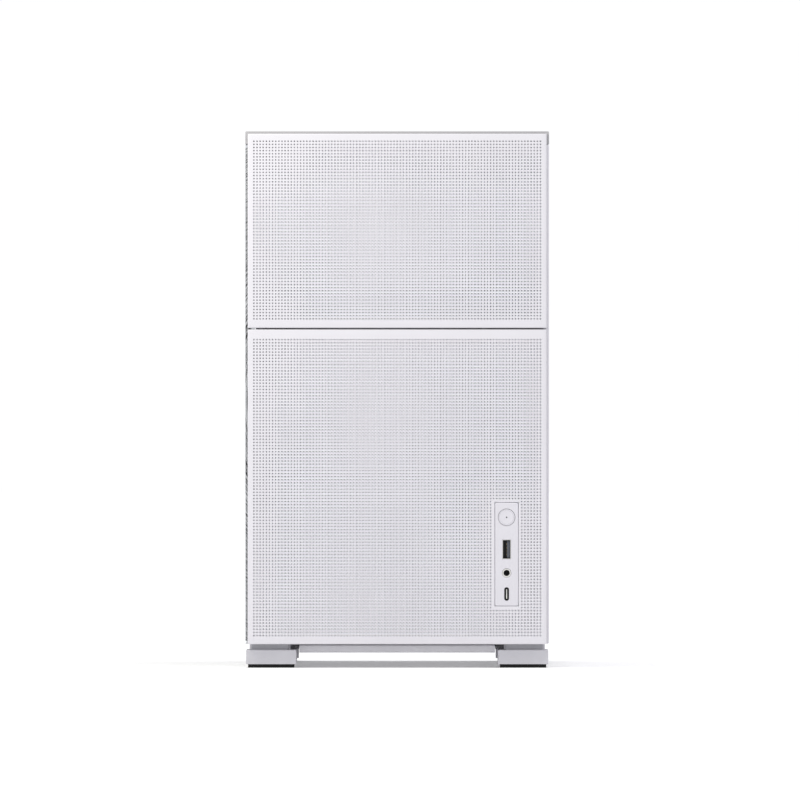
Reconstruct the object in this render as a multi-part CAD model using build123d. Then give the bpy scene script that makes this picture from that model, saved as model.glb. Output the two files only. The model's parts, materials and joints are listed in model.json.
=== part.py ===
"""Compact desktop computer tower, built as an assembly of separate parts.

Frame: millimetres, +Z up, +Y towards the back, +X to the right of someone facing the front.
The origin is on the table, under the middle of the bounding box.
"""
import os
from math import cos, pi, radians, sin

from build123d import *

os.makedirs("parts", exist_ok=True)

# ---------------------------------------------------------------- driving dimensions
WIDTH = 205.0  # over the side panels
DEPTH = 440.0  # front panel face to the thumb-screw heads
HEIGHT = 362.0  # table to the top cover
SHEET = 1.0  # chassis steel
SKIN = 1.2  # steel of the outer panels

PAD_T = 2.4  # rubber pad under each foot
FOOT_H = 9.8
SPACER_H = 3.5
BODY_Z0 = PAD_T + FOOT_H + SPACER_H  # underside of the chassis
FRONT_Y = -DEPTH / 2
REAR_Y = DEPTH / 2

CHASSIS_X = 95.5  # half width of the chassis
FRAME_Y = -205.0  # front face of the front frame
WALL_Y = 212.0  # outer face of the rear wall
LID_Z = 352.0  # top face of the top frame
CEILING_Z = LID_Z - SHEET
FLOOR_Z = BODY_Z0 + SHEET

PANEL_D = 14.0  # depth of a front panel's folded rim
PANEL_X = 100.8  # half width of a front panel
SPLIT_Z = 228.7  # middle of the gap between the two front panels
SPLIT_GAP = 1.0
PANEL_TOP_Z = 360.2
SIDE_Y0, SIDE_Y1 = FRAME_Y - 0.4, 214.0  # length of the side panels
SIDE_Z0, SIDE_Z1 = BODY_Z0 + 0.4, 352.9
GLASS_T = 4.0
COVER_Z0 = 353.5  # bottom of the top cover's rim

STUD_R, SOCKET_BORE_R, SOCKET_R, SOCKET_FLANGE_R = 2.4, 2.6, 4.4, 5.6
STUD_L = 9.0
SCREW_R = 1.75

BEZEL_X, BEZEL_W = 73.8, 15.8  # the strip of front connectors
BEZEL_Z0, BEZEL_Z1 = 41.8, 111.6
BEZEL_GAP = 0.35
BEZEL_CORNER_R = 1.2
BUTTON_Z, BUTTON_R, BUTTON_TRAVEL = 101.5, 5.6, 1.2
USB_A_Z, JACK_Z, USB_C_Z = 79.9, 64.0, 49.8
JACK_BORE_R, JACK_L = 1.8, 12.0

FAN, FAN_T, FAN_BORE_R, FAN_PITCH = 120.0, 25.0, 58.0, 105.0
FAN_HOLE_R, VENT_R = 2.2, 57.0

BOARD_X = 74.4  # component face of the mainboard
BOARD_T = 1.6
TRAY_X = 82.5  # component face of the mainboard tray
BOARD_Y0, BOARD_Y1 = -34.0, 210.0
BOARD_Z0, BOARD_Z1 = 64.0, 308.0
PORTS_Z0, PORTS_Z1, PORTS_X0, PORTS_X1 = 144.5, 303.3, 32.5, 77.0
SLOT_PITCH, SLOT_1_Z = 20.32, 133.0
SLOT_X0, SLOT_X1 = -40.0, 66.0

REAR_FAN_X, REAR_FAN_Z = -32.0, 262.0
TOP_FAN_YS = (142.0, 18.0)
TOP_VENT_YS = (142.0, 18.0, -106.0)
FLOOR_VENT_YS = (84.0, -42.0)
CPU_Y, CPU_Z = 130.0, 233.0
CPU_FAN_X, CPU_FAN_Y1 = -22.0, 104.0

PSU_X, PSU_Y0, PSU_D = 75.0, -202.0, 86.0
PSU_Z0, PSU_Z1 = 206.0, 346.0

INLET_X, INLET_Z = -70.0, 37.0
THUMB_X, THUMB_Z, THUMB_HEAD_R = 70.0, 345.5, 5.0


# ---------------------------------------------------------------- shape helpers
def block(x0, x1, y0, y1, z0, z1):
    """A box between two corners."""
    return Pos((x0 + x1) / 2, (y0 + y1) / 2, (z0 + z1) / 2) * Box(x1 - x0, y1 - y0, z1 - z0)


def rounded_block(x0, x1, y0, y1, z0, z1, radius, axis):
    """A box whose four edges along one axis are rounded."""
    solid = block(x0, x1, y0, y1, z0, z1)
    return fillet(solid.edges().filter_by(axis), radius)


def rod_x(radius, x0, x1, y, z):
    return Pos((x0 + x1) / 2, y, z) * Rot(Y=90) * Cylinder(radius, abs(x1 - x0))


def rod_y(radius, y0, y1, x, z):
    return Pos(x, (y0 + y1) / 2, z) * Rot(X=90) * Cylinder(radius, abs(y1 - y0))


def rod_z(radius, z0, z1, x, y):
    return Pos(x, y, (z0 + z1) / 2) * Cylinder(radius, abs(z1 - z0))


def mirrored(solid):
    """The same solid on the other side of the middle plane."""
    return mirror(solid, about=Plane.YZ)


def both_sides(solid):
    return [solid, mirrored(solid)]


def walls_apart(shell, x0, x1, y0, y1, z0, z1):
    """Cuts a pan or a case, at the planes of its cavity, into walls that touch.

    Each wall is nearly flat, so the collision pieces made from it stay out of the cavity.
    """
    far = 1000.0
    zones = [
        block(-far, far, -far, y0, -far, far),
        block(-far, far, y1, far, -far, far),
        block(-far, x0, y0, y1, -far, far),
        block(x1, far, y0, y1, -far, far),
        block(x0, x1, y0, y1, -far, z0),
        block(x0, x1, y0, y1, z1, far),
    ]
    walls = []
    for zone in zones:
        wall = shell & zone
        if wall:
            walls += wall.solids()
    return walls


def save(name, *solids):
    """Writes one node; several solids stay separate in it."""
    shape = solids[0] if len(solids) == 1 else Compound(children=list(solids))
    export_step(shape, f"parts/{name}.step")


def stud(direction, x, y, z):
    """A snap stud with a grooved tip. It grows from (x, y, z) along 'x', '-x', 'y' or '-z'."""
    shank = Cylinder(STUD_R, STUD_L, align=(Align.CENTER, Align.CENTER, Align.MIN))
    groove = Pos(0, 0, STUD_L - 3.4) * (Cylinder(STUD_R + 1, 1.4) - Cylinder(STUD_R - 0.6, 1.4))
    pin = chamfer((shank - groove).edges().sort_by(Axis.Z)[-1], 0.9)
    turns = {"x": Rot(Y=90), "-x": Rot(Y=-90), "y": Rot(X=-90), "-z": Rot(Y=180)}
    return Pos(x, y, z) * turns[direction] * pin


def socket(direction, x, y, z):
    """The plastic socket that takes a stud. (x, y, z) is the middle of its flange's back face."""
    flange = Pos(0, 0, -0.4) * Cylinder(SOCKET_FLANGE_R, 0.8)
    body = Pos(0, 0, 3.2) * Cylinder(SOCKET_R, 6.4)
    solid = flange + body - Cylinder(SOCKET_BORE_R, 40)
    turns = {"x": Rot(Y=90), "-x": Rot(Y=-90), "y": Rot(X=-90), "-z": Rot(Y=180)}
    return Pos(x, y, z) * turns[direction] * solid


# ---------------------------------------------------------------- feet
FOOT_X0, FOOT_X1, FOOT_L = 68.0, 102.0, 46.0
FOOT_YS = (FRONT_Y + 6.0, 164.0)
PAD_INSET = 1.4
SPACER_X0, SPACER_X1, SPACER_INSET = 73.5, 98.1, 4.0
FOOT_MIDDLE_X = (SPACER_X0 + SPACER_X1) / 2
FOOT_SCREW_R, FOOT_HEAD_R = 2.0, 3.8


def foot_parts():
    """Four foot blocks with their pads and spacers; returns the four screws."""
    feet, pads, spacers, screws = [], [], [], []
    for y0 in FOOT_YS:
        y1 = y0 + FOOT_L
        y_mid = (y0 + y1) / 2
        z0, z1 = PAD_T, PAD_T + FOOT_H
        foot = rounded_block(FOOT_X0, FOOT_X1, y0, y1, z0, z1, 0.9, Axis.Z)
        foot = chamfer(foot.faces().sort_by(Axis.Z)[-1].edges(), 0.5)
        foot = foot - rod_z(FOOT_SCREW_R + 0.2, z0, z1, FOOT_MIDDLE_X, y_mid)
        foot = foot - rod_z(FOOT_HEAD_R + 0.3, z0, z0 + 3.2, FOOT_MIDDLE_X, y_mid)
        feet += both_sides(foot)
        pad = rounded_block(
            FOOT_X0 + PAD_INSET, FOOT_X1 - PAD_INSET, y0 + PAD_INSET, y1 - PAD_INSET, 0, PAD_T, 1.5, Axis.Z
        )
        spacer = block(SPACER_X0, SPACER_X1, y0 + SPACER_INSET, y1 - SPACER_INSET, z1, BODY_Z0)
        spacer = spacer - rod_z(FOOT_SCREW_R + 0.2, z1, BODY_Z0, FOOT_MIDDLE_X, y_mid)
        screw = rod_z(FOOT_HEAD_R, z0 + 0.7, z0 + 3.2, FOOT_MIDDLE_X, y_mid)
        screw = screw + rod_z(FOOT_SCREW_R, z0 + 3.2, FLOOR_Z + 4, FOOT_MIDDLE_X, y_mid)
        pads += both_sides(pad)
        spacers += both_sides(spacer)
        screws += both_sides(screw)
    save("feet", *feet)
    save("foot_pads", *pads)
    save("foot_spacers", *spacers)
    return screws


# ---------------------------------------------------------------- chassis
FLANGE = 14.0  # width of the chassis' folded flanges
SIDE_STUD_YS = (-188.0, 196.0)
SIDE_STUD_ZS = (24.5, 343.5)
TOP_STUD_X, TOP_STUD_YS = 74.0, (-96.0, 196.0)
FRONT_STUD_X = 90.0
UPPER_STUD_ZS, LOWER_STUD_ZS = (240.0, 330.0), (40.0, 214.0)
WINDOW_X = 82.0
UPPER_WINDOW_Z = (240.0, 344.0)
LOWER_WINDOW_Z = (30.0, 218.0)
LOWER_WINDOW_X1 = 57.0
RAIL_X0, RAIL_X1, RAIL_Z0 = 66.4, 72.0, 12.4
RAIL_Y0, RAIL_Y1 = -202.0, 152.0
TONGUE_X, TONGUE_Z0, TONGUE_Z1 = 69.4, 13.4, 14.4


def fan_screw_points(x, y):
    half = FAN_PITCH / 2
    return [(x + sx * half, y + sy * half) for sx in (-1, 1) for sy in (-1, 1)]


def side_flanges(z0, z1, stud_z):
    """The folded side edges of the floor or the top, clear of the end plates, with stud holes."""
    flange = block(CHASSIS_X - SHEET, CHASSIS_X, FRAME_Y + SHEET, WALL_Y - SHEET, z0, z1)
    for y in SIDE_STUD_YS:
        flange = flange - rod_x(SOCKET_R + 0.1, 0, WIDTH / 2, y, stud_z)
    return both_sides(flange)


def end_flanges(y0, y1):
    """The folded side edges of the front frame or the rear wall."""
    z0, z1 = FLOOR_Z + FLANGE + 1, CEILING_Z - FLANGE - 1
    return both_sides(block(CHASSIS_X - SHEET, CHASSIS_X, y0, y1, z0, z1))


def floor_pan():
    pan = block(-CHASSIS_X, CHASSIS_X, FRAME_Y, WALL_Y, BODY_Z0, FLOOR_Z)
    for y in FLOOR_VENT_YS:
        pan = pan - rod_z(VENT_R, BODY_Z0, FLOOR_Z, 0, y)
        for hole_x, hole_y in fan_screw_points(0, y):
            pan = pan - rod_z(FAN_HOLE_R, BODY_Z0, FLOOR_Z, hole_x, hole_y)
    for y0 in FOOT_YS:
        for x in (-FOOT_MIDDLE_X, FOOT_MIDDLE_X):
            pan = pan - rod_z(FOOT_SCREW_R + 0.2, BODY_Z0, FLOOR_Z, x, y0 + FOOT_L / 2)
    return [pan, *side_flanges(FLOOR_Z, FLOOR_Z + FLANGE, SIDE_STUD_ZS[0])]


def tray_rails():
    """Two grooved rails under the floor that hold the filter tray."""
    rail = block(RAIL_X0, RAIL_X1, RAIL_Y0, RAIL_Y1, RAIL_Z0, BODY_Z0)
    groove = block(RAIL_X0, TONGUE_X + 0.3, RAIL_Y0, RAIL_Y1 - 3, TONGUE_Z0 - 0.2, TONGUE_Z1 + 0.2)
    return both_sides(rail - groove)


def front_frame():
    z0, z1 = FLOOR_Z, CEILING_Z
    frame = block(-CHASSIS_X, CHASSIS_X, FRAME_Y, FRAME_Y + SHEET, z0, z1)
    frame = frame - block(-WINDOW_X, WINDOW_X, FRAME_Y, FRAME_Y + SHEET, *UPPER_WINDOW_Z)
    frame = frame - block(-WINDOW_X, LOWER_WINDOW_X1, FRAME_Y, FRAME_Y + SHEET, *LOWER_WINDOW_Z)
    board_slot = (BEZEL_X - 5, BEZEL_X + 5, FRAME_Y, FRAME_Y + SHEET, BEZEL_Z0 + 8, BEZEL_Z1 - 8)
    frame = frame - block(*board_slot)
    for z in UPPER_STUD_ZS + LOWER_STUD_ZS:
        for x in (-FRONT_STUD_X, FRONT_STUD_X):
            frame = frame - rod_y(SOCKET_R + 0.1, FRAME_Y, FRAME_Y + SHEET, x, z)
    return [frame, *end_flanges(FRAME_Y + SHEET, FRAME_Y + FLANGE)]


def slot_z(number):
    return SLOT_1_Z - SLOT_PITCH * (number - 1)


def rear_wall():
    z0, z1 = FLOOR_Z, CEILING_Z
    y0, y1 = WALL_Y - SHEET, WALL_Y
    wall = block(-CHASSIS_X, CHASSIS_X, y0, y1, z0, z1)
    wall = wall - rod_y(VENT_R, y0, y1, REAR_FAN_X, REAR_FAN_Z)
    for x, z in fan_screw_points(REAR_FAN_X, REAR_FAN_Z):
        wall = wall - rod_y(FAN_HOLE_R, y0, y1, x, z)
    wall = wall - block(PORTS_X0, PORTS_X1, y0, y1, PORTS_Z0, PORTS_Z1)
    for number in (1, 2, 3, 4):
        z = slot_z(number)
        wall = wall - rounded_block(SLOT_X0, SLOT_X1, y0 - 1, y1 + 1, z - 7, z + 7, 1.5, Axis.Y)
    wall = wall - block(INLET_X - 14, INLET_X + 14, y0, y1, INLET_Z - 10.2, INLET_Z + 10.2)
    for column in range(9):
        for row in range(3):
            x = -34.0 + column * 13.0
            z = 26.0 + row * 9.0
            wall = wall - rounded_block(x, x + 9, y0 - 1, y1 + 1, z, z + 5, 2.4, Axis.Y)
    for x in (-THUMB_X, THUMB_X):
        wall = wall - rod_y(SCREW_R + 0.15, y0, y1, x, THUMB_Z)
    return [wall, *end_flanges(WALL_Y - FLANGE, y0)]


def top_frame():
    z0, z1 = CEILING_Z, LID_Z
    lid = block(-CHASSIS_X, CHASSIS_X, FRAME_Y, WALL_Y, z0, z1)
    for y in TOP_VENT_YS:
        lid = lid - rod_z(VENT_R, z0, z1, 0, y)
        for hole_x, hole_y in fan_screw_points(0, y):
            lid = lid - rod_z(FAN_HOLE_R, z0, z1, hole_x, hole_y)
    for y in TOP_STUD_YS:
        for x in (-TOP_STUD_X, TOP_STUD_X):
            lid = lid - rod_z(SOCKET_R + 0.1, z0, z1, x, y)
    return [lid, *side_flanges(z0 - FLANGE, z0, SIDE_STUD_ZS[1])]


STANDOFF_YS = (BOARD_Y0 + 17, 85.0, BOARD_Y1 - 7)
STANDOFF_ZS = (BOARD_Z0 + 8, 158.0, BOARD_Z1 - 8)
TRAY_Y0 = -108.0


def mainboard_tray():
    tray = block(TRAY_X, TRAY_X + SHEET, TRAY_Y0, WALL_Y - SHEET, FLOOR_Z, CEILING_Z)
    cooler_window = rounded_block(TRAY_X - 1, TRAY_X + 2, 88, 172, 185, 281, 6, Axis.X)
    tray = tray - cooler_window
    for z in (90.0, 170.0, 250.0):
        grommet = rounded_block(TRAY_X - 1, TRAY_X + 2, -78, -48, z - 24, z + 24, 12, Axis.X)
        tray = tray - grommet
    for y in (0.0, 100.0):
        tray = tray - rounded_block(TRAY_X - 1, TRAY_X + 2, y, y + 40, 322, 340, 6, Axis.X)
    return tray


def standoffs_and_screws():
    """Brass standoffs under the mainboard, and the screws through it."""
    standoffs, screws = [], []
    for y in STANDOFF_YS:
        for z in STANDOFF_ZS:
            if 88 < y < 172 and 185 < z < 281:
                continue
            hexagon = Pos(BOARD_X + BOARD_T, y, z) * Rot(Y=90) * extrude(RegularPolygon(2.9, 6), 6.5)
            standoffs.append(hexagon - rod_x(1.5, BOARD_X, BOARD_X + 5, y, z))
            head = rod_x(2.9, BOARD_X - 2.2, BOARD_X, y, z)
            screws.append(head + rod_x(1.45, BOARD_X, BOARD_X + 4.5, y, z))
    return standoffs, screws


def chassis_parts():
    save("floor_pan", *floor_pan())
    save("tray_rails", *tray_rails())
    save("front_frame", *front_frame())
    save("rear_wall", *rear_wall())
    save("top_frame", *top_frame())
    save("mainboard_tray", mainboard_tray())
    standoffs, screws = standoffs_and_screws()
    save("mainboard_standoffs", *standoffs)
    return screws


# ---------------------------------------------------------------- outer panels
EAR, EAR_Y = 14.0, -208.0  # tabs inside a front panel's rim; the plane of their front faces


def front_panel(z0, z1, stud_zs, window=None):
    """A pan folded from one sheet, with four tabs that carry the snap studs."""
    y0, y1 = FRONT_Y, FRONT_Y + PANEL_D
    outer = block(-PANEL_X, PANEL_X, y0, y1, z0, z1)
    outer = fillet(outer.faces().sort_by(Axis.Y)[0].edges(), 0.9)
    cavity = (-PANEL_X + SKIN, PANEL_X - SKIN, y0 + SKIN, y1, z0 + SKIN, z1 - SKIN)
    pan = outer - block(*cavity)
    if window:
        pan = pan - window
    pieces = walls_apart(pan, *cavity)
    if window:
        face, *edges = pieces
        pieces = walls_apart(face, *inside_bezel_window(y0 - 1, y0 + PANEL_D)) + edges
    for z in stud_zs:
        ear = block(PANEL_X - SKIN - EAR, PANEL_X - SKIN, EAR_Y, EAR_Y + SHEET, z - 7, z + 7)
        pieces += both_sides(ear)
        pieces += [stud("y", x, EAR_Y + SHEET, z) for x in (-FRONT_STUD_X, FRONT_STUD_X)]
    return pieces


def bezel_window(y0, y1, gap):
    return rounded_block(
        BEZEL_X - BEZEL_W / 2 - gap,
        BEZEL_X + BEZEL_W / 2 + gap,
        y0,
        y1,
        BEZEL_Z0 - gap,
        BEZEL_Z1 + gap,
        BEZEL_CORNER_R,
        Axis.Y,
    )


def inside_bezel_window(y0, y1):
    """The largest box in the bezel's window that keeps clear of its rounded corners."""
    half = BEZEL_W / 2 + BEZEL_GAP - BEZEL_CORNER_R
    inset = BEZEL_CORNER_R - BEZEL_GAP
    return BEZEL_X - half, BEZEL_X + half, y0, y1, BEZEL_Z0 + inset, BEZEL_Z1 - inset


FILTER_T = 0.6
FILTER_INSET = 1.4
GLASS_STRIP_H, GLASS_STRIP_T = 13.0, 1.0


def front_panel_parts():
    upper_z = (SPLIT_Z + SPLIT_GAP / 2, PANEL_TOP_Z)
    lower_z = (BODY_Z0 + 0.2, SPLIT_Z - SPLIT_GAP / 2)
    window = bezel_window(FRONT_Y - 1, FRAME_Y, BEZEL_GAP)
    save("front_panel_upper", *front_panel(*upper_z, UPPER_STUD_ZS))
    save("front_panel_lower", *front_panel(*lower_z, LOWER_STUD_ZS, window))
    x = PANEL_X - SKIN - FILTER_INSET
    y0 = FRONT_Y + SKIN
    for name, (z0, z1) in (("upper", upper_z), ("lower", lower_z)):
        inset = SKIN + FILTER_INSET
        net = block(-x, x, y0, y0 + FILTER_T, z0 + inset, z1 - inset)
        if name == "lower":
            net = net - bezel_window(FRONT_Y - 1, FRAME_Y, BEZEL_GAP + 1)
        save(f"front_filter_{name}", net)


def glass_panel_parts():
    x0, x1 = -WIDTH / 2, -WIDTH / 2 + GLASS_T
    glass = rounded_block(x0, x1, SIDE_Y0, SIDE_Y1, SIDE_Z0, SIDE_Z1, 2.0, Axis.X)
    save("glass_panel", glass)
    strips, studs = [], []
    for z in SIDE_STUD_ZS:
        half = GLASS_STRIP_H / 2
        strips.append(block(x1, x1 + GLASS_STRIP_T, SIDE_Y0 + 6, SIDE_Y1 - 6, z - half, z + half))
        for y in SIDE_STUD_YS:
            studs.append(stud("x", x1 + GLASS_STRIP_T, y, z))
    save("glass_panel_strips", *strips, *studs)


def right_panel_parts():
    x0, x1 = 97.5, WIDTH / 2
    outer = block(x0, x1, SIDE_Y0, SIDE_Y1, SIDE_Z0, SIDE_Z1)
    outer = fillet(outer.faces().sort_by(Axis.X)[-1].edges(), 0.9)
    y0, y1, z0, z1 = SIDE_Y0 + SKIN, SIDE_Y1 - SKIN, SIDE_Z0 + SKIN, SIDE_Z1 - SKIN
    cavity = (x0, x1 - SKIN, y0, y1, z0, z1)
    pieces = walls_apart(outer - block(*cavity), *cavity)
    for z in SIDE_STUD_ZS:
        for y in SIDE_STUD_YS:
            low, high = (z0, z + 7) if z < 100 else (z - 7, z1)
            pieces.append(block(x0, x0 + SHEET, y - 8, y + 8, low, high))
            pieces.append(stud("-x", x0, y, z))
    save("right_panel", *pieces)


TAB_Y0, TAB_Y1 = WALL_Y + 0.4, WALL_Y + 0.4 + SHEET
COVER_Y1 = TAB_Y1 + SKIN


def top_cover_parts():
    outer = block(-WIDTH / 2, WIDTH / 2, SIDE_Y0, COVER_Y1, COVER_Z0, HEIGHT)
    outer = fillet(outer.faces().sort_by(Axis.Z)[-1].edges(), 0.9)
    x, y0, y1 = WIDTH / 2 - SKIN, SIDE_Y0 + SKIN, COVER_Y1 - SKIN
    cavity = (-x, x, y0, y1, COVER_Z0, HEIGHT - SKIN)
    pieces = walls_apart(outer - block(*cavity), *cavity)
    for tab_x in (-THUMB_X, THUMB_X):
        tab = block(tab_x - 8, tab_x + 8, TAB_Y0, TAB_Y1, THUMB_Z - 5, COVER_Z0 + 3)
        slot = block(tab_x - 2.2, tab_x + 2.2, TAB_Y0, TAB_Y1, THUMB_Z - 5, THUMB_Z)
        pieces.append(tab - slot - rod_y(2.2, TAB_Y0, TAB_Y1, tab_x, THUMB_Z))
    for y in TOP_STUD_YS:
        for stud_x in (-TOP_STUD_X, TOP_STUD_X):
            ear_x0, ear_x1 = (stud_x - 7, x) if stud_x > 0 else (-x, stud_x + 7)
            pieces.append(block(ear_x0, ear_x1, y - 8, y + 8, COVER_Z0, COVER_Z0 + SHEET))
            pieces.append(stud("-z", stud_x, y, COVER_Z0))
    save("top_cover", *pieces)
    z1 = HEIGHT - SKIN
    save("top_filter", block(-x + 2, x - 2, y0 + 2, y1 - 2, z1 - FILTER_T, z1))


def stud_sockets():
    """Every plastic socket on the chassis."""
    sockets = []
    for x in (-FRONT_STUD_X, FRONT_STUD_X):
        sockets += [socket("y", x, FRAME_Y, z) for z in UPPER_STUD_ZS + LOWER_STUD_ZS]
    for y in SIDE_STUD_YS:
        for z in SIDE_STUD_ZS:
            sockets.append(socket("x", -CHASSIS_X, y, z))
            sockets.append(socket("-x", CHASSIS_X, y, z))
    for y in TOP_STUD_YS:
        sockets += [socket("-z", x, y, LID_Z) for x in (-TOP_STUD_X, TOP_STUD_X)]
    return sockets


def thumb_screws():
    """Two thumb screws that hold the top cover's tabs against the rear wall."""
    screws = []
    for x in (-THUMB_X, THUMB_X):
        head = chamfer(rod_y(THUMB_HEAD_R, TAB_Y1 + 0.1, REAR_Y, x, THUMB_Z).edges(), 0.6)
        for step in range(18):
            angle = radians(20 * step)
            knurl_x = x + THUMB_HEAD_R * cos(angle)
            knurl_z = THUMB_Z + THUMB_HEAD_R * sin(angle)
            head = head - rod_y(0.35, TAB_Y1, REAR_Y, knurl_x, knurl_z)
        slot = block(x - 3.4, x + 3.4, REAR_Y - 1, REAR_Y, THUMB_Z - 0.5, THUMB_Z + 0.5)
        shank = rod_y(SCREW_R, WALL_Y - 6, TAB_Y1 + 0.1, x, THUMB_Z)
        screws.append(head - slot + shank)
    return screws


# ---------------------------------------------------------------- filter tray under the floor
TRAY_HALF_X, TRAY_BOTTOM_Z = 66.0, 10.1
TRAY_FRONT_Y, TRAY_REAR_Y = -208.0, 148.0
TRAY_RIM = 7.0
TRAY_WINDOWS = ((-186.0, -106.0), (-99.0, 15.0), (27.0, 141.0))


def filter_tray_parts():
    z1 = BODY_Z0 - 0.3
    frame = block(-TRAY_HALF_X, TRAY_HALF_X, TRAY_FRONT_Y, TRAY_REAR_Y, TRAY_BOTTOM_Z, z1)
    frame = chamfer(frame.faces().sort_by(Axis.Y)[0].edges().filter_by(Axis.X), 0.8)
    inner = TRAY_HALF_X - TRAY_RIM
    for y0, y1 in TRAY_WINDOWS:
        frame = frame - block(-inner, inner, y0, y1, TRAY_BOTTOM_Z, z1)
        ledge = block(-inner - 2, inner + 2, y0 - 2, y1 + 2, z1 - 1.2, z1)
        frame = frame - ledge
    tongue = block(TRAY_HALF_X, TONGUE_X, RAIL_Y0 + 2, TRAY_REAR_Y, TONGUE_Z0, TONGUE_Z1)
    frame = frame + tongue + mirrored(tongue)
    save("filter_tray", frame)
    nets = []
    for y0, y1 in TRAY_WINDOWS:
        nets.append(block(-inner - 1.8, inner + 1.8, y0 - 1.8, y1 + 1.8, z1 - 1.2, z1 - 0.6))
    save("filter_tray_net", *nets)


# ---------------------------------------------------------------- front connectors
BEZEL_Y0, BEZEL_PLATE_T, BEZEL_WALL = FRONT_Y + 0.2, 2.0, 1.2
IO_BOARD_Y0, IO_BOARD_Y1 = -207.0, FRAME_Y - 0.4
USB_A_W, USB_A_H, SHELL_T = 5.7, 13.1, 0.3
USB_C_W, USB_C_H = 3.16, 9.0
PORT_GAP = 0.08
JACK_RING_R = 3.05
SWITCH_Y0 = -211.5


def usb_c_outline(grow):
    width, height = USB_C_W + 2 * grow, USB_C_H + 2 * grow
    return Plane.XZ * RectangleRounded(width, height, width / 2 - 0.01)


def front_connector_parts():
    x = BEZEL_X
    y0, y_back = BEZEL_Y0, IO_BOARD_Y0 - 0.2
    bezel = bezel_window(y0, y_back, 0)
    bezel = chamfer(bezel.faces().sort_by(Axis.Y)[0].edges(), 0.3)
    half = BEZEL_W / 2 - BEZEL_WALL
    bezel = bezel - block(
        x - half, x + half, y0 + BEZEL_PLATE_T, y_back, BEZEL_Z0 + BEZEL_WALL, BEZEL_Z1 - BEZEL_WALL
    )
    cut = 8.0
    bezel = bezel - rod_y(BUTTON_R + 0.25, y0 - 1, y0 + cut, x, BUTTON_Z)
    usb_a_hole = block(
        x - USB_A_W / 2 - PORT_GAP, x + USB_A_W / 2 + PORT_GAP, y0 - 1, y0 + cut,
        USB_A_Z - USB_A_H / 2 - PORT_GAP, USB_A_Z + USB_A_H / 2 + PORT_GAP,
    )
    bezel = bezel - usb_a_hole - rod_y(JACK_RING_R + PORT_GAP, y0 - 1, y0 + cut, x, JACK_Z)
    usb_c_hole = Pos(x, y0 + cut, USB_C_Z) * extrude(usb_c_outline(PORT_GAP), cut + 1)
    bezel = bezel - usb_c_hole
    save("port_bezel", bezel)

    button_y1 = FRONT_Y + 4.2
    button = rod_y(BUTTON_R, FRONT_Y + 0.1, button_y1, x, BUTTON_Z)
    button = fillet(button.edges().sort_by(Axis.Y)[0], 0.4)
    button = button - rod_y(0.55, FRONT_Y, button_y1, x, BUTTON_Z)
    stem = rod_y(2.2, button_y1, SWITCH_Y0 - BUTTON_TRAVEL - 0.3, x, BUTTON_Z)
    collar = rod_y(BUTTON_R + 0.9, FRONT_Y + 3.0, button_y1, x, BUTTON_Z)
    collar = collar - rod_y(0.55, FRONT_Y, button_y1, x, BUTTON_Z)
    lens = rod_y(0.5, FRONT_Y + 0.1, button_y1, x, BUTTON_Z)
    save("power_button", button + collar + stem, lens)

    usb_y0, usb_y1 = y0 + 0.1, IO_BOARD_Y0
    shell = block(
        x - USB_A_W / 2, x + USB_A_W / 2, usb_y0, usb_y1, USB_A_Z - USB_A_H / 2, USB_A_Z + USB_A_H / 2
    )
    w, h = USB_A_W / 2 - SHELL_T, USB_A_H / 2 - SHELL_T
    shell = shell - block(x - w, x + w, usb_y0, usb_y1 - 1, USB_A_Z - h, USB_A_Z + h)
    tongue = block(x + 0.35, x + 2.2, usb_y0 + 1.2, usb_y1 - 1, USB_A_Z - 5.4, USB_A_Z + 5.4)
    save("usb_a_port", shell, tongue)

    c_shell = Pos(x, usb_y1, USB_C_Z) * extrude(usb_c_outline(0), usb_y1 - usb_y0)
    c_bore = Pos(x, usb_y1 - 1, USB_C_Z) * extrude(usb_c_outline(-SHELL_T), usb_y1 - usb_y0)
    c_tongue = block(x - 0.35, x + 0.35, usb_y0 + 0.9, usb_y1 - 1, USB_C_Z - 3.2, USB_C_Z + 3.2)
    save("usb_c_port", c_shell - c_bore, c_tongue)

    jack_y0 = y0 + 0.1
    jack = rod_y(JACK_RING_R, jack_y0, jack_y0 + 3, x, JACK_Z)
    jack = fillet(jack.edges().sort_by(Axis.Y)[0], 0.3)
    jack = jack + block(x - 3.2, x + 3.2, jack_y0 + 3, IO_BOARD_Y0, JACK_Z - 3.2, JACK_Z + 3.2)
    save("audio_jack", jack - rod_y(JACK_BORE_R, jack_y0 - 1, jack_y0 + JACK_L, x, JACK_Z))

    board = block(x - 6, x + 6, IO_BOARD_Y0, IO_BOARD_Y1, BEZEL_Z0 + 2, BEZEL_Z1 - 2)
    switch = block(x - 3, x + 3, SWITCH_Y0, IO_BOARD_Y0, BUTTON_Z - 3, BUTTON_Z + 3)
    plunger = rod_y(1.6, SWITCH_Y0 - 0.2, SWITCH_Y0, x, BUTTON_Z)
    save("front_port_board", board, switch + plunger)


# ---------------------------------------------------------------- fans
HUB_R, STRUT_W, MOTOR_T = 20.0, 3.4, 3.0
BLADES, BLADE_T, BLADE_CHORD, BLADE_PITCH_DEG = 9, 1.4, 27.0, 34.0
FAN_TIP_GAP = 1.4


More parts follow.
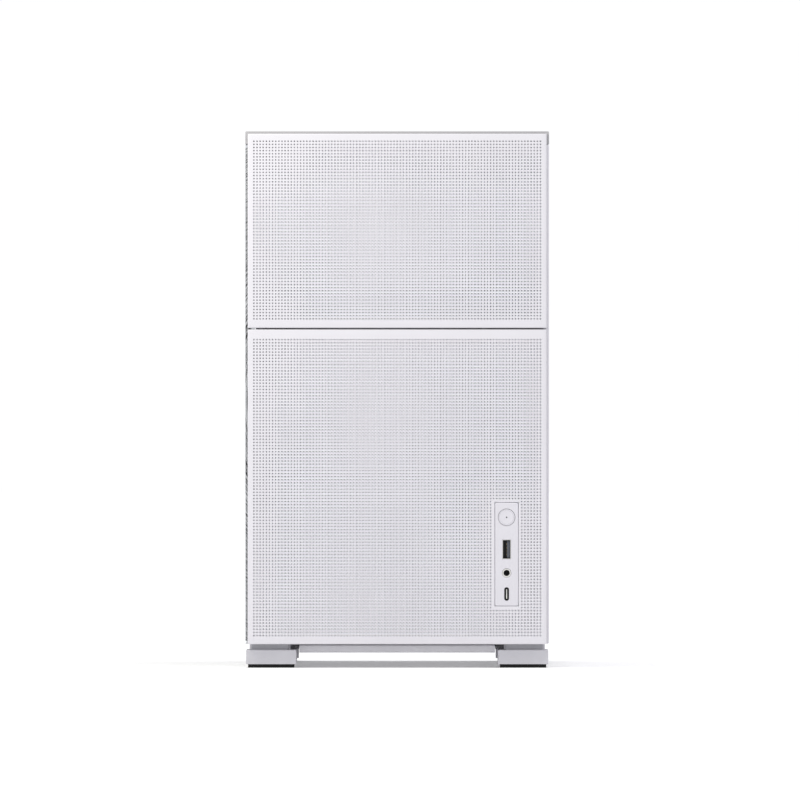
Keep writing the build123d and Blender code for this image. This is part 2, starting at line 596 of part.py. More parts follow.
def fan_frame(side=FAN, thick=FAN_T, bore_r=FAN_BORE_R):
    """A square fan frame about the origin, blowing along Z, with its motor mount at the low end."""
    frame = Box(side, side, thick)
    frame = fillet(frame.edges().filter_by(Axis.Z), 6.0)
    frame = frame - Cylinder(bore_r, thick)
    half = side * FAN_PITCH / FAN / 2
    for sx in (-1, 1):
        for sy in (-1, 1):
            frame = frame - Pos(sx * half, sy * half, 0) * Cylinder(FAN_HOLE_R, thick)
    z = -thick / 2 + MOTOR_T / 2
    motor = Pos(0, 0, z) * Cylinder(HUB_R, MOTOR_T)
    for turn in range(4):
        strut = Pos(bore_r / 2, 0, z) * Box(bore_r + 1, STRUT_W, MOTOR_T)
        motor = motor + Rot(Z=45 + 90 * turn) * strut
    return frame + motor


def fan_rotor(tip_r=FAN_BORE_R - FAN_TIP_GAP, thick=FAN_T, hub_r=HUB_R, blades=BLADES):
    """A hub and its pitched blades, about the origin, turning about Z."""
    z0, z1 = -thick / 2 + MOTOR_T + 0.6, thick / 2 - 0.8
    hub = Pos(0, 0, (z0 + z1) / 2) * Cylinder(hub_r, z1 - z0)
    hub = fillet(hub.edges().sort_by(Axis.Z)[-1], 1.5)
    length = tip_r - hub_r + 4
    chord = min(BLADE_CHORD, (z1 - z0) * 0.95 / sin(radians(BLADE_PITCH_DEG)))
    paddle = Box(length, chord, BLADE_T)
    blade = Pos(hub_r + length / 2 - 2, 0, (z0 + z1) / 2) * Rot(X=BLADE_PITCH_DEG) * paddle
    ring = Pos(0, 0, (z0 + z1) / 2) * Cylinder(tip_r, z1 - z0)
    for turn in range(blades):
        hub = hub + Rot(Z=360 / blades * turn) * (blade & ring)
    return hub


def fan_parts():
    rear = Pos(REAR_FAN_X, WALL_Y - SHEET - FAN_T / 2, REAR_FAN_Z) * Rot(X=90)
    save("rear_fan_frame", rear * fan_frame())
    save("rear_fan_rotor", rear * fan_rotor())
    cooler = Pos(CPU_FAN_X, CPU_FAN_Y1 - FAN_T / 2, CPU_Z) * Rot(X=90)
    save("cooler_fan_frame", cooler * fan_frame())
    save("cooler_fan_rotor", cooler * fan_rotor())
    frames = []
    for number, y in enumerate(TOP_FAN_YS, 1):
        place = Pos(0, y, CEILING_Z - FAN_T / 2) * Rot(X=180)
        frames.append(place * fan_frame())
        save(f"top_fan_{number}_rotor", place * fan_rotor())
    save("top_fan_frames", *frames)


# ---------------------------------------------------------------- mainboard and what sits on it
FIN_X0, FIN_X1, FINS, FIN_T = -80.0, 36.0, 30, 0.6
FIN_Y0, FIN_Y1 = 105.0, 155.0
PIPE_R = 3.0
PIPE_SPOTS = [(y, z) for y in (119.0, 141.0) for z in (217.0, 227.5, 238.5, 249.0)]
MEMORY_YS = (48.0, 57.6, 67.2)


def mainboard_parts():
    board = block(BOARD_X, BOARD_X + BOARD_T, BOARD_Y0, BOARD_Y1, BOARD_Z0, BOARD_Z1)
    for y in STANDOFF_YS:
        for z in STANDOFF_ZS:
            board = board - rod_x(1.7, BOARD_X, BOARD_X + BOARD_T, y, z)
    save("mainboard", board)

    sockets = []
    for z in (SLOT_1_Z, SLOT_1_Z - 2 * SLOT_PITCH):
        body = block(BOARD_X - 10.4, BOARD_X, 76, 166, z - 3.8, z + 3.8)
        sockets.append(body - block(BOARD_X - 10.4, BOARD_X - 3, 78, 164, z - 1, z + 1))
    sockets.append(block(BOARD_X - 10.4, BOARD_X, 141, 166, slot_z(4) - 3.8, slot_z(4) + 3.8))
    for y in MEMORY_YS:
        body = block(BOARD_X - 9, BOARD_X, y - 3.2, y + 3.2, 160, 302)
        sockets.append(body - block(BOARD_X - 9, BOARD_X - 3, y - 1, y + 1, 164, 298))
    sockets.append(block(BOARD_X - 12, BOARD_X, BOARD_Y0 + 1, BOARD_Y0 + 11, 200, 252))
    sockets.append(block(BOARD_X - 12, BOARD_X, 160, 180, BOARD_Z1 - 13, BOARD_Z1 - 3))
    save("mainboard_sockets", *sockets, processor_socket())

    heat_sinks = [
        finned_block(BOARD_X - 26, BOARD_X, 166, 192, 180, 278, Axis.Z),
        finned_block(BOARD_X - 24, BOARD_X, 92, 156, 284, 300, Axis.Y),
        rounded_block(BOARD_X - 7, BOARD_X, -10, 44, 76, 118, 3, Axis.X),
    ]
    save("mainboard_heat_sinks", *heat_sinks)

    memory = []
    for y in MEMORY_YS[1:]:
        card = block(BOARD_X - 34, BOARD_X - 3.2, y - 0.6, y + 0.6, 164.5, 297.5)
        jacket = block(BOARD_X - 38, BOARD_X - 10, y - 3.1, y + 3.1, 164.5, 297.5)
        jacket = chamfer(jacket.faces().sort_by(Axis.X)[0].edges().filter_by(Axis.Z), 1.2)
        memory.append(jacket + card)
    save("memory_modules", *memory)


def finned_block(x0, x1, y0, y1, z0, z1, along):
    """A heat sink: a block with grooves cut across its outer face."""
    sink = block(x0, x1, y0, y1, z0, z1)
    low, high = (z0, z1) if along == Axis.Z else (y0, y1)
    count = int((high - low) / 8)
    for step in range(1, count):
        middle = low + (high - low) * step / count
        if along == Axis.Z:
            sink = sink - block(x0, x0 + 9, y0, y1, middle - 1.2, middle + 1.2)
        else:
            sink = sink - block(x0, x0 + 9, middle - 1.2, middle + 1.2, z0, z1)
    return sink


def processor_socket():
    frame = block(BOARD_X - 4.4, BOARD_X, CPU_Y - 30, CPU_Y + 30, CPU_Z - 32, CPU_Z + 32)
    return fillet(frame.edges().filter_by(Axis.X), 3.0)


def cooler_parts():
    """Tower cooler: a base block, heat pipes and a stack of separate fins."""
    base = block(BOARD_X - 17, BOARD_X - 4.4, CPU_Y - 20, CPU_Y + 20, CPU_Z - 24, CPU_Z + 24)
    pipes = [rod_x(PIPE_R, FIN_X0 - 3, BOARD_X - 17, y, z) for y, z in PIPE_SPOTS]
    save("cooler_base", base, *pipes)
    fins = []
    for number in range(FINS):
        x = FIN_X0 + (FIN_X1 - FIN_X0) * number / (FINS - 1)
        fin = block(x, x + FIN_T, FIN_Y0, FIN_Y1, CPU_Z - 58, CPU_Z + 58)
        for y, z in PIPE_SPOTS:
            fin = fin - rod_x(PIPE_R + 0.03, x - 1, x + 1 + FIN_T, y, z)
        fins.append(fin)
    save("cooler_fins", *fins)


REAR_PORTS = (  # x0, x1, z0, z1 of each connector in the mainboard's port panel
    (47.0, 71.0, 282.0, 298.0),
    (44.0, 72.0, 262.0, 276.0),
    (56.0, 72.5, 244.0, 258.0),
    (56.0, 72.5, 227.0, 241.0),
    (54.0, 72.0, 206.0, 222.0),
    (56.0, 72.5, 190.0, 203.0),
    (42.0, 72.0, 154.0, 182.0),
)


def port_panel_parts():
    y1 = WALL_Y - SHEET
    shield = block(PORTS_X0 - 2, PORTS_X1 - 3.4, y1 - 0.8, y1, PORTS_Z0 + 1, PORTS_Z1 - 1)
    cans = []
    for x0, x1, z0, z1 in REAR_PORTS:
        shield = shield - block(x0, x1, y1 - 0.8, y1, z0, z1)
        can = block(x0 + 0.1, x1 - 0.1, y1 - 16, WALL_Y + 0.6, z0 + 0.1, z1 - 0.1)
        cans.append(can - block(x0 + 1.1, x1 - 1.1, WALL_Y - 8, WALL_Y + 0.6, z0 + 1.1, z1 - 1.1))
    save("port_shield", shield)
    return cans


# ---------------------------------------------------------------- graphics card
CARD_Y0, CARD_Y1 = -72.0, 206.0
CARD_X0, CARD_X1 = -46.0, 63.6
CARD_Z = SLOT_1_Z  # middle of the card's circuit board
SHROUD_Z0 = 92.0
CARD_FAN_R, CARD_FAN_T = 43.0, 12.0
CARD_FAN_YS = (128.0, 22.0)
BRACKET_Y0 = WALL_Y - SHEET - 1.6


def graphics_card_parts():
    board = block(CARD_X0, CARD_X1, CARD_Y0 + 4, CARD_Y1, CARD_Z - 0.8, CARD_Z + 0.8)
    board = board + block(CARD_X1, BOARD_X - 3.4, 80, 162, CARD_Z - 0.8, CARD_Z + 0.8)
    save("card_circuit_board", board)

    plate = block(CARD_X0, CARD_X1 - 3, CARD_Y0 + 2, CARD_Y1 - 4, CARD_Z + 1.2, CARD_Z + 2.4)
    for step in range(6):
        y = CARD_Y0 + 14 + 9 * step
        plate = plate - rounded_block(CARD_X0 + 16, CARD_X1 - 20, y, y + 4, CARD_Z, CARD_Z + 4, 1.9, Axis.Z)
    save("card_back_plate", plate)

    x0, x1, z1 = CARD_X0, CARD_X1 - 2, CARD_Z - 1.2
    shroud = rounded_block(x0, x1, CARD_Y0, CARD_Y1 - 3, SHROUD_Z0, z1, 7.0, Axis.Z)
    cavity = (x0 + 2, x1 - 2, CARD_Y0 + 2, CARD_Y1 - 5, SHROUD_Z0 + 2, z1)
    shroud = shroud - block(*cavity)
    shroud = shroud - block(x1 - 2, x1, CARD_Y0 + 24, CARD_Y1 - 24, SHROUD_Z0 + 8, z1)
    shroud = shroud - block(x0, x0 + 2, CARD_Y0 + 30, CARD_Y1 - 60, z1 - 12, z1)
    middle_x = (x0 + x1) / 2
    for y in CARD_FAN_YS:
        shroud = shroud - rod_z(CARD_FAN_R + 1.2, SHROUD_Z0 - 1, SHROUD_Z0 + 2, middle_x, y)
    save("card_shroud", *walls_apart(shroud, *cavity))

    fins = []
    y0, y1 = CARD_Y0 + 8, CARD_Y1 - 9
    for number in range(34):
        y = y0 + (y1 - y0) * number / 33
        fins.append(block(x0 + 3, x1 - 3, y, y + 0.8, SHROUD_Z0 + 2.4 + CARD_FAN_T + 3, z1 - 5))
    base = block(x0 + 3, x1 - 3, y0, y1 + 0.8, z1 - 5, z1 - 1)
    save("card_heat_sink", base, *fins)

    for number, y in enumerate(CARD_FAN_YS, 1):
        place = Pos(middle_x, y, SHROUD_Z0 + 0.4 + CARD_FAN_T / 2) * Rot(X=180)
        rotor = fan_rotor(tip_r=CARD_FAN_R, thick=CARD_FAN_T + MOTOR_T, hub_r=14.0, blades=11)
        save(f"card_fan_{number}", place * rotor)

    bracket = block(SLOT_X0 - 4, BOARD_X - 2, BRACKET_Y0, BRACKET_Y0 + 1, slot_z(2) - 9.2, SLOT_1_Z + 9.2)
    outlets = []
    for x in (-22.0, 4.0, 30.0):
        bracket = bracket - block(x, x + 17, BRACKET_Y0, BRACKET_Y0 + 1, SLOT_1_Z - 4, SLOT_1_Z + 3)
        can = block(x + 0.2, x + 16.8, BRACKET_Y0 - 2.2, BRACKET_Y0 + 2.4, SLOT_1_Z - 3.8, SLOT_1_Z + 2.8)
        outlets.append(
            can - block(x + 1.2, x + 15.8, BRACKET_Y0 - 1, BRACKET_Y0 + 2.4, SLOT_1_Z - 2.8, SLOT_1_Z + 1.8)
        )
    for step in range(8):
        x = SLOT_X0 + 6 + 12 * step
        bracket = bracket - block(x, x + 8, BRACKET_Y0, BRACKET_Y0 + 1, slot_z(2) - 4, slot_z(2) + 4)
    return bracket, outlets


def join(first, others):
    for other in others:
        first = first + other
    return first


def slot_covers_and_screws():
    """Covers over the two free expansion slots, and the screws at the ends of all the brackets."""
    covers, screws = [], []
    for number in (3, 4):
        z = slot_z(number)
        cover = block(SLOT_X0 - 4, BOARD_X - 2, BRACKET_Y0, BRACKET_Y0 + 1, z - 9.2, z + 9.2)
        for step in range(8):
            x = SLOT_X0 + 6 + 12 * step
            vent = rounded_block(x, x + 8, BRACKET_Y0 - 1, BRACKET_Y0 + 2, z - 3, z + 3, 2.5, Axis.Y)
            cover = cover - vent
        covers.append(cover)
    for number in (1, 2, 3, 4):
        head = rod_y(3.4, WALL_Y, WALL_Y + 2.4, SLOT_X0 - 9, slot_z(number))
        screws.append(fillet(head.edges().sort_by(Axis.Y)[-1], 0.8))
    return covers, screws


# ---------------------------------------------------------------- power supply and its inlet
PSU_FAN_R, PSU_FAN_T = 62.0, 22.0
PSU_FAN_Z = (PSU_Z0 + PSU_Z1) / 2
PSU_WALL, PSU_BOARD_GAP = 1.2, 8.0


def power_supply_inside(y0, y1):
    """The supply's circuit board with its transformer, heat sinks and capacitors."""
    board = block(-PSU_X + 6, PSU_X - 6, y1, y1 + 1.6, PSU_Z0 + 6, PSU_Z1 - 6)
    transformer = block(-22, 22, y0, y1, PSU_FAN_Z - 26, PSU_FAN_Z + 26)
    heat_sinks = both_sides(block(34, 38, y0, y1, PSU_Z0 + 20, PSU_Z1 - 20))
    capacitors = [rod_y(11, y0 + 8, y1, -54, PSU_FAN_Z + dz) for dz in (-30, 0, 30)]
    return [board, transformer, *heat_sinks, *capacitors]


def power_supply_parts():
    y0, y1 = PSU_Y0, PSU_Y0 + PSU_D
    case = rounded_block(-PSU_X, PSU_X, y0, y1, PSU_Z0, PSU_Z1, 1.5, Axis.Y)
    inner_x, inner_z0, inner_z1 = PSU_X - PSU_WALL, PSU_Z0 + PSU_WALL, PSU_Z1 - PSU_WALL
    cavity = (-inner_x, inner_x, y0 + PSU_WALL, y1 - PSU_WALL, inner_z0, inner_z1)
    case = case - block(*cavity) - rod_y(PSU_FAN_R + 2, y0, y0 + PSU_WALL, 0, PSU_FAN_Z)
    inside = power_supply_inside(y0 + PSU_FAN_T + 12, y1 - PSU_BOARD_GAP)
    save("power_supply_case", *walls_apart(case, *cavity), *inside)
    place = Pos(0, y0 + PSU_WALL + 1.5 + PSU_FAN_T / 2, PSU_FAN_Z) * Rot(X=90)
    save("power_supply_fan", place * fan_rotor(tip_r=PSU_FAN_R, thick=PSU_FAN_T, hub_r=18.0, blades=11))

    guard_place = Pos(0, y0 - 0.8, PSU_FAN_Z)
    rings = [guard_place * Rot(X=90) * Torus(r, 0.8) for r in (16, 28, 40, 52, 64)]
    spokes = [guard_place * Rot(Y=45 + 90 * n) * Pos(40, 0, 0) * Box(50, 1.2, 1.6) for n in range(4)]
    save("power_supply_guard", join(rings[0], rings[1:] + spokes))

    z1 = PSU_Z0
    bracket = block(-CHASSIS_X + SHEET, TRAY_X, y0 + 8, y1 + 4, z1 - 1.4, z1)
    bracket = bracket - block(-60, 60, y0 + 22, y1 - 10, z1 - 1.4, z1)
    for x0, x1 in ((-CHASSIS_X + SHEET, -CHASSIS_X + 2 * SHEET), (TRAY_X - SHEET, TRAY_X)):
        bracket = bracket + block(x0, x1, y0 + 8, y1 + 4, z1, z1 + 16)
    save("power_supply_bracket", bracket)


def inlet_parts():
    """The mains inlet on the rear wall: a shrouded socket with three flat pins."""
    x, z, y_wall = INLET_X, INLET_Z, WALL_Y
    flange = rounded_block(x - 20, x + 20, y_wall, y_wall + 2.6, z - 11.5, z + 11.5, 3, Axis.Y)
    body = block(x - 13.8, x + 13.8, y_wall - 20, y_wall, z - 10, z + 10)
    cavity = block(x - 12, x + 12, y_wall - 14.5, y_wall + 2.6, z - 8.2, z + 8.2)
    for sx in (-1, 1):
        corner = Pos(x + sx * 12, y_wall - 5.95, z + 8.2) * Rot(Y=45) * Box(6, 17.1, 6)
        cavity = cavity - corner
    pins = []
    for dx, dz in ((-7, -1.5), (7, -1.5), (0, 2.5)):
        pins.append(block(x + dx - 1, x + dx + 1, y_wall - 14.5, y_wall - 1, z + dz - 2, z + dz + 2))
    save("mains_inlet", flange + body - cavity, *pins)


INLET_LEAD_R, BOARD_LEAD_R = 3.6, 4.2


def internal_leads():
    """The lead from the inlet to the supply, and the one from the supply to the mainboard."""
    x, z = INLET_X, INLET_Z
    inlet_route = [
        (x, WALL_Y - 20, z),
        (x, 168, z),
        (x - 4, 136, 27),
        (x - 6, 96, 22.5),
        (x - 5, 50, 24),
        (x - 8, 0, 22.5),
        (x - 4, -46, 25),
        (x + 2, -88, 34),
        (x + 8, -124, 62),
        (x + 14, -146, 104),
        (x + 18, -158, 150),
        (x + 20, -160, 186),
        (x + 20, -160, PSU_Z0),
    ]
    board_route = [
        (38, PSU_Y0 + PSU_D, 250),
        (38, -84, 250),
        (34.8, -52, 238),
        (34.8, BOARD_Y0 + 6, 226),
        (BOARD_X - 12, BOARD_Y0 + 6, 226),
    ]
    leads = []
    for route, radius in ((inlet_route, INLET_LEAD_R), (board_route, BOARD_LEAD_R)):
        path = tangent_path(route)
        start = Plane(origin=path @ 0, z_dir=path % 0)
        leads.append(sweep(start * Circle(radius), path))
    save("internal_leads", *leads)


def tangent_path(points):
    """Straight runs joined by tangent arcs, each as large as its two runs allow."""
    corners = [Vector(*p) for p in points]
    radii = []
    for before, here, after in zip(corners, corners[1:], corners[2:]):
        run_in, run_out = here - before, after - here
        turn = radians(run_in.get_angle(run_out))
        half_turn_tangent = sin(turn / 2) / cos(turn / 2)
        radii.append(0.45 * min(run_in.length, run_out.length) / half_turn_tangent)
    print("lead radii", [round(r) for r in radii])
    return FilletPolyline(*corners, radius=radii)


def drive_parts():
    """A small solid-state drive on a bracket on the floor."""
    x0, x1, y0, y1 = -28.0, 42.0, -196.0, -112.0
    bracket = block(x0 - 4, x1 + 4, y0, y1, FLOOR_Z, FLOOR_Z + SHEET)
    for x in (x0 - 4, x1 + 4 - SHEET):
        bracket = bracket + block(x, x + SHEET, y0, y1, FLOOR_Z + SHEET, FLOOR_Z + 9)
    save("drive_bracket", bracket)
    drive = block(x0, x1, y0 + 2, y1 - 2, FLOOR_Z + SHEET, FLOOR_Z + SHEET + 7)
    save("solid_state_drive", fillet(drive.edges().filter_by(Axis.Z), 2.0))


def main():
    screws = foot_parts()
    screws += chassis_parts()
    front_panel_parts()
    glass_panel_parts()
    right_panel_parts()
    top_cover_parts()
    save("stud_sockets", *stud_sockets())
    save("thumb_screws", *thumb_screws())
    filter_tray_parts()
    front_connector_parts()
    fan_parts()
    mainboard_parts()
    cooler_parts()
    cans = port_panel_parts()
    bracket, outlets = graphics_card_parts()
    covers, slot_screws = slot_covers_and_screws()
    save("rear_connectors", *cans, *outlets)
    save("slot_brackets", bracket, *covers)
    save("chassis_screws", *screws, *slot_screws)
    power_supply_parts()
    inlet_parts()
    internal_leads()
    drive_parts()


main()
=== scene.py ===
# %% [markdown]
# # A compact desktop computer tower, dressed around its CAD frame
# The CAD model already has every part at its real size and place. This lesson gives the tower its
# looks: perforated white steel panels, a column of front connectors, feet and filters, and the
# electronics that show through the glass side. One could model all of it again in Blender, but then
# sizes would drift, so each cell reads its places from the CAD and builds only what is still plain.

# %% Tools
import json
import math
import random

import bmesh
import bpy
from mathutils import Matrix, Vector

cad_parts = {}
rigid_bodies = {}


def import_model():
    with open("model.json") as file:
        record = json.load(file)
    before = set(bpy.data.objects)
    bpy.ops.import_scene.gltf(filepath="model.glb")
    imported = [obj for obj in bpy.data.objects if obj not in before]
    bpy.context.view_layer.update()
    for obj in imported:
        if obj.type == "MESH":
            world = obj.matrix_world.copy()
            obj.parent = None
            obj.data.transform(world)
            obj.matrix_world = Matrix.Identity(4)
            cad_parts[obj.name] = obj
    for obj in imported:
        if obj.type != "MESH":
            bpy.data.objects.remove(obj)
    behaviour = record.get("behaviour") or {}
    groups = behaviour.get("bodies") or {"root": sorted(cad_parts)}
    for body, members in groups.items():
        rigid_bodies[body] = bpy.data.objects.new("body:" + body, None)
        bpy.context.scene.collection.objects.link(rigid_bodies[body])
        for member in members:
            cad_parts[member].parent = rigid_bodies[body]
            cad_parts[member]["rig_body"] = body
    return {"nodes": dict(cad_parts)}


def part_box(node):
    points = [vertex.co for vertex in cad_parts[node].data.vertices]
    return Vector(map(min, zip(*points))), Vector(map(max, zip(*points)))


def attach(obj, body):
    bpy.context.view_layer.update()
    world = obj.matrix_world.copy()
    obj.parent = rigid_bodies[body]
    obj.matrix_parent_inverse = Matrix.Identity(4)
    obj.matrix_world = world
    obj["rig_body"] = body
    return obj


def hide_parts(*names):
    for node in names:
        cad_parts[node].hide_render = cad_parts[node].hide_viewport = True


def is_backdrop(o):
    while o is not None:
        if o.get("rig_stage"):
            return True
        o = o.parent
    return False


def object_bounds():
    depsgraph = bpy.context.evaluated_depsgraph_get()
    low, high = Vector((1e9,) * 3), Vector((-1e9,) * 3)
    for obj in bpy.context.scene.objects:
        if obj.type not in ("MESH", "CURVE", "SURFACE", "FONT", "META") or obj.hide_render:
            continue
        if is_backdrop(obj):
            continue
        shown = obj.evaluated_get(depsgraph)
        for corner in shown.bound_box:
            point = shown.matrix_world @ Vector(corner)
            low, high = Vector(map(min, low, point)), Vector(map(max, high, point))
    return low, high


MM = 0.001

# %% [markdown]
# ## The frame
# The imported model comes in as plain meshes, one for each part, each already moving with its body.
# Its box is kept now, before anything is added, because the finished tower has to stay inside it.

# %% Load the frame
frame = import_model()
cad_low, cad_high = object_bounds()
nodes = frame["nodes"]
body_of = {name: node["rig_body"] for name, node in nodes.items()}
print("parts", len(nodes), "size", [round(v, 4) for v in cad_high - cad_low])

# %% [markdown]
# ## The camera
# A product shot of a tower is taken from far away with a long lens, so that its sides stay parallel.
# Moving the camera back and narrowing the lens together keeps the size and removes the perspective.

# %% Camera
CAMERA_DISTANCE, VIEW_WIDTH = 16.0, 0.5394
AIM_X, AIM_Z = 0.0019, 0.1806
SENSOR = 36.0

camera_data = bpy.data.cameras.new("camera")
camera_data.sensor_width = SENSOR
camera_data.lens = SENSOR * CAMERA_DISTANCE / VIEW_WIDTH
camera_data.clip_end = 100.0
camera = bpy.data.objects.new("camera", camera_data)
camera.location = (AIM_X, cad_low.y - CAMERA_DISTANCE, AIM_Z)
camera.rotation_euler = (math.radians(90), 0, 0)
bpy.context.scene.collection.objects.link(camera)
bpy.context.scene.camera = camera
print("lens", round(camera_data.lens), "mm")

# %% [markdown]
# ## Floor and light
# The tower stands on a pale sweep under a bright even sky, so the background burns out to white and
# only a narrow soft shadow is left under the feet, where the tower hides the sky. The sweep glows a
# little, like a light table, which trims the shadow; a stronger glow would wash it out. A soft,
# slightly warm lamp near the upper left gives the slow fall across the front.

# %% Floor and light
bpy.context.scene.view_settings.view_transform = "Standard"
world = bpy.data.worlds.new("white_room")
world.use_nodes = True
world.node_tree.nodes["Background"].inputs["Color"].default_value = (0.985, 0.985, 1.0, 1)
world.node_tree.nodes["Background"].inputs["Strength"].default_value = 1.02
bpy.context.scene.world = world


def soft_lamp(name, place, target, size, power, colour):
    """A square area lamp that faces its target."""
    data = bpy.data.lights.new(name, "AREA")
    data.size = size
    data.energy = power
    data.color = colour
    lamp = bpy.data.objects.new(name, data)
    lamp.visible_camera = False
    lamp.location = place
    lamp.rotation_euler = (Vector(target) - Vector(place)).to_track_quat("-Z", "Y").to_euler()
    bpy.context.scene.collection.objects.link(lamp)


soft_lamp("key", (-0.38, -0.50, 0.64), (0, -0.2, 0.28), 0.22, 1.60, (1.0, 0.985, 0.86))
sun_data = bpy.data.lights.new("overhead", "SUN")
sun_data.energy = 0.35
sun_data.angle = math.radians(60)
sun = bpy.data.objects.new("overhead", sun_data)
bpy.context.scene.collection.objects.link(sun)

FLOOR_HALF = 30.0
floor_mesh = bpy.data.meshes.new("floor")
SIGNS = ((-1, -1), (1, -1), (1, 1), (-1, 1))
floor_corners = [(sx * FLOOR_HALF, sy * FLOOR_HALF, 0) for sx, sy in SIGNS]
floor_mesh.from_pydata(floor_corners, [], [(0, 1, 2, 3)])
floor_paint = bpy.data.materials.new("pale_sweep")
floor_paint.use_nodes = True
floor_shader = floor_paint.node_tree.nodes["Principled BSDF"]
floor_shader.inputs["Base Color"].default_value = (0.90, 0.90, 0.90, 1)
floor_shader.inputs["Roughness"].default_value = 0.9
floor_shader.inputs["Specular IOR Level"].default_value = 0.0
floor_shader.inputs["Emission Color"].default_value = (1, 1, 1, 1)
floor_shader.inputs["Emission Strength"].default_value = 0.15
floor_mesh.materials.append(floor_paint)
floor = bpy.data.objects.new("floor", floor_mesh)
bpy.context.scene.collection.objects.link(floor)
floor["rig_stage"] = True

# %% [markdown]
# ## Helpers for materials
# Every finish here starts from the same three layers: a colour that wanders a little, a roughness
# that wanders too, and a fine relief. The scale of each layer is what tells powder coat from moulded
# plastic or from rolled steel. Three short helpers keep the shader nodes readable.

# %% Material helpers


def add_node(material, kind, **inputs):
    """Adds a shader node. A number or colour sets a socket, and a socket is linked to it."""
    made = material.node_tree.nodes.new("ShaderNode" + kind)
    for name, value in inputs.items():
        socket = made.inputs[name.replace("_", " ")]
        if isinstance(value, bpy.types.NodeSocket):
            material.node_tree.links.new(value, socket)
        else:
            socket.default_value = value
    return made


def ramp(material, factor, low, high, start=0.35, end=0.65):
    """Turns a pattern into a colour between low and high."""
    made = add_node(material, "ValToRGB", Fac=factor)
    for stop, (place, colour) in zip(made.color_ramp.elements, ((start, low), (end, high))):
        stop.position = place
        stop.color = (*colour, 1)
    return made.outputs["Color"]


def place_on(material, stretch=(1, 1, 1)):
    """The surface's own coordinates in metres, stretched along an axis for brushed looks."""
    coordinates = add_node(material, "TexCoord").outputs["Object"]
    return add_node(material, "Mapping", Vector=coordinates, Scale=stretch).outputs["Vector"]


print("shader helpers", add_node.__name__, ramp.__name__, place_on.__name__)

# %% [markdown]
# ## A plain finish
# Real coatings are never one flat value. The colour wanders over a few centimetres, as a spray or a
# mould leaves it, and the roughness and the relief follow one fine noise, so that they agree. Two
# separate noises would look like dirt on top of a smooth skin.

# %% Plain finish
ROUGH_SPREAD = 0.05
RELIEF_HEIGHT = 0.0002


def tinted(colour, by):
    """A colour made lighter or darker."""
    return tuple(min(1.0, channel * by) for channel in colour)


def surface(
    name,
    colour,
    rough,
    metal=0.0,
    vary=0.02,
    patch=40.0,
    grain=1500.0,
    relief=0.05,
    stretch=(1, 1, 1),
    coat=0.0,
):
    """A finish with wandering colour and roughness and a fine relief. Scales are per metre."""
    material = bpy.data.materials.new(name)
    material.use_nodes = True
    shader = material.node_tree.nodes["Principled BSDF"]
    link = material.node_tree.links.new
    where = place_on(material, stretch)
    clouds = add_node(material, "TexNoise", Vector=where, Scale=patch, Detail=4.0).outputs["Fac"]
    wandering = ramp(material, clouds, tinted(colour, 1 - vary), tinted(colour, 1 + vary))
    link(wandering, shader.inputs["Base Color"])
    fine = add_node(material, "TexNoise", Vector=where, Scale=grain, Detail=2.0).outputs["Fac"]
    low, high = rough - ROUGH_SPREAD, rough + ROUGH_SPREAD
    rough_range = add_node(material, "MapRange", Value=fine, To_Min=low, To_Max=high)
    link(rough_range.outputs["Result"], shader.inputs["Roughness"])
    bump = add_node(material, "Bump", Height=fine, Strength=relief, Distance=RELIEF_HEIGHT)
    link(bump.outputs["Normal"], shader.inputs["Normal"])
    shader.inputs["Metallic"].default_value = metal
    shader.inputs["Coat Weight"].default_value = coat
    return material


print("relief", RELIEF_HEIGHT / MM, "mm")

# %% [markdown]
# ## The finishes
# The outside is steel in a white powder coat with a cool cast: the powder melts into a skin with a
# very fine orange peel, half way between matt and gloss. The feet are a greyer satin paint. Inside
# are the usual finishes of electronics: dark solder mask, black nylon, zinc, nickel and aluminium.

# %% Finishes
COAT = surface(
    "white_powder_coat", (0.64, 0.63, 0.672), 0.42, vary=0.012, patch=25, grain=2600, relief=0.10
)
# Painted shade: a darker grey copy of the powder coat for a pan's rim. It paints the shade of the
# recessed seam behind the front panel, and only the top cover's rim uses it.
RIM_SHADE_COAT = surface(
    "painted_rim_shade", (0.40, 0.395, 0.41), 0.45, vary=0.012, patch=25, grain=2600, relief=0.10
)
INNER_COAT = surface(
    "inner_powder_coat", (0.74, 0.74, 0.77), 0.48, vary=0.015, patch=25, grain=2600, relief=0.12
)
WHITE_PLASTIC = surface(
    "white_plastic", (0.615, 0.605, 0.652), 0.50, vary=0.01, patch=60, grain=4200, relief=0.12
)
FOOT_PAINT = surface(
    "foot_paint", (0.50, 0.495, 0.533), 0.38, vary=0.03, patch=60, grain=2200, relief=0.08
)
GREY_PLASTIC = surface(
    "grey_plastic", (0.16, 0.155, 0.175), 0.50, vary=0.05, patch=90, grain=3000, relief=0.15
)
SLATE_PLASTIC = surface(
    "slate_plastic", (0.060, 0.068, 0.085), 0.40, vary=0.05, patch=200, grain=3000, relief=0.1
)
BLACK_PLASTIC = surface(
    "black_plastic", (0.018, 0.018, 0.020), 0.42, vary=0.12, patch=80, grain=3200, relief=0.2
)
FAN_PLASTIC = surface(
    "fan_plastic", (0.030, 0.030, 0.033), 0.36, vary=0.10, patch=80, grain=3600, relief=0.15
)
RUBBER = surface("rubber", (0.006, 0.006, 0.006), 0.90, vary=0.15, patch=150, grain=2400, relief=0.35)
BLACK_COAT = surface(
    "black_powder_coat", (0.022, 0.022, 0.024), 0.50, vary=0.08, patch=50, grain=2400, relief=0.3
)
ZINC = surface(
    "zinc_plate", (0.56, 0.57, 0.60), 0.34, metal=1, vary=0.10, patch=70, grain=900, relief=0.06
)
NICKEL = surface(
    "nickel_plate", (0.66, 0.65, 0.63), 0.18, metal=1, vary=0.03, patch=60, grain=2600, relief=0.03
)
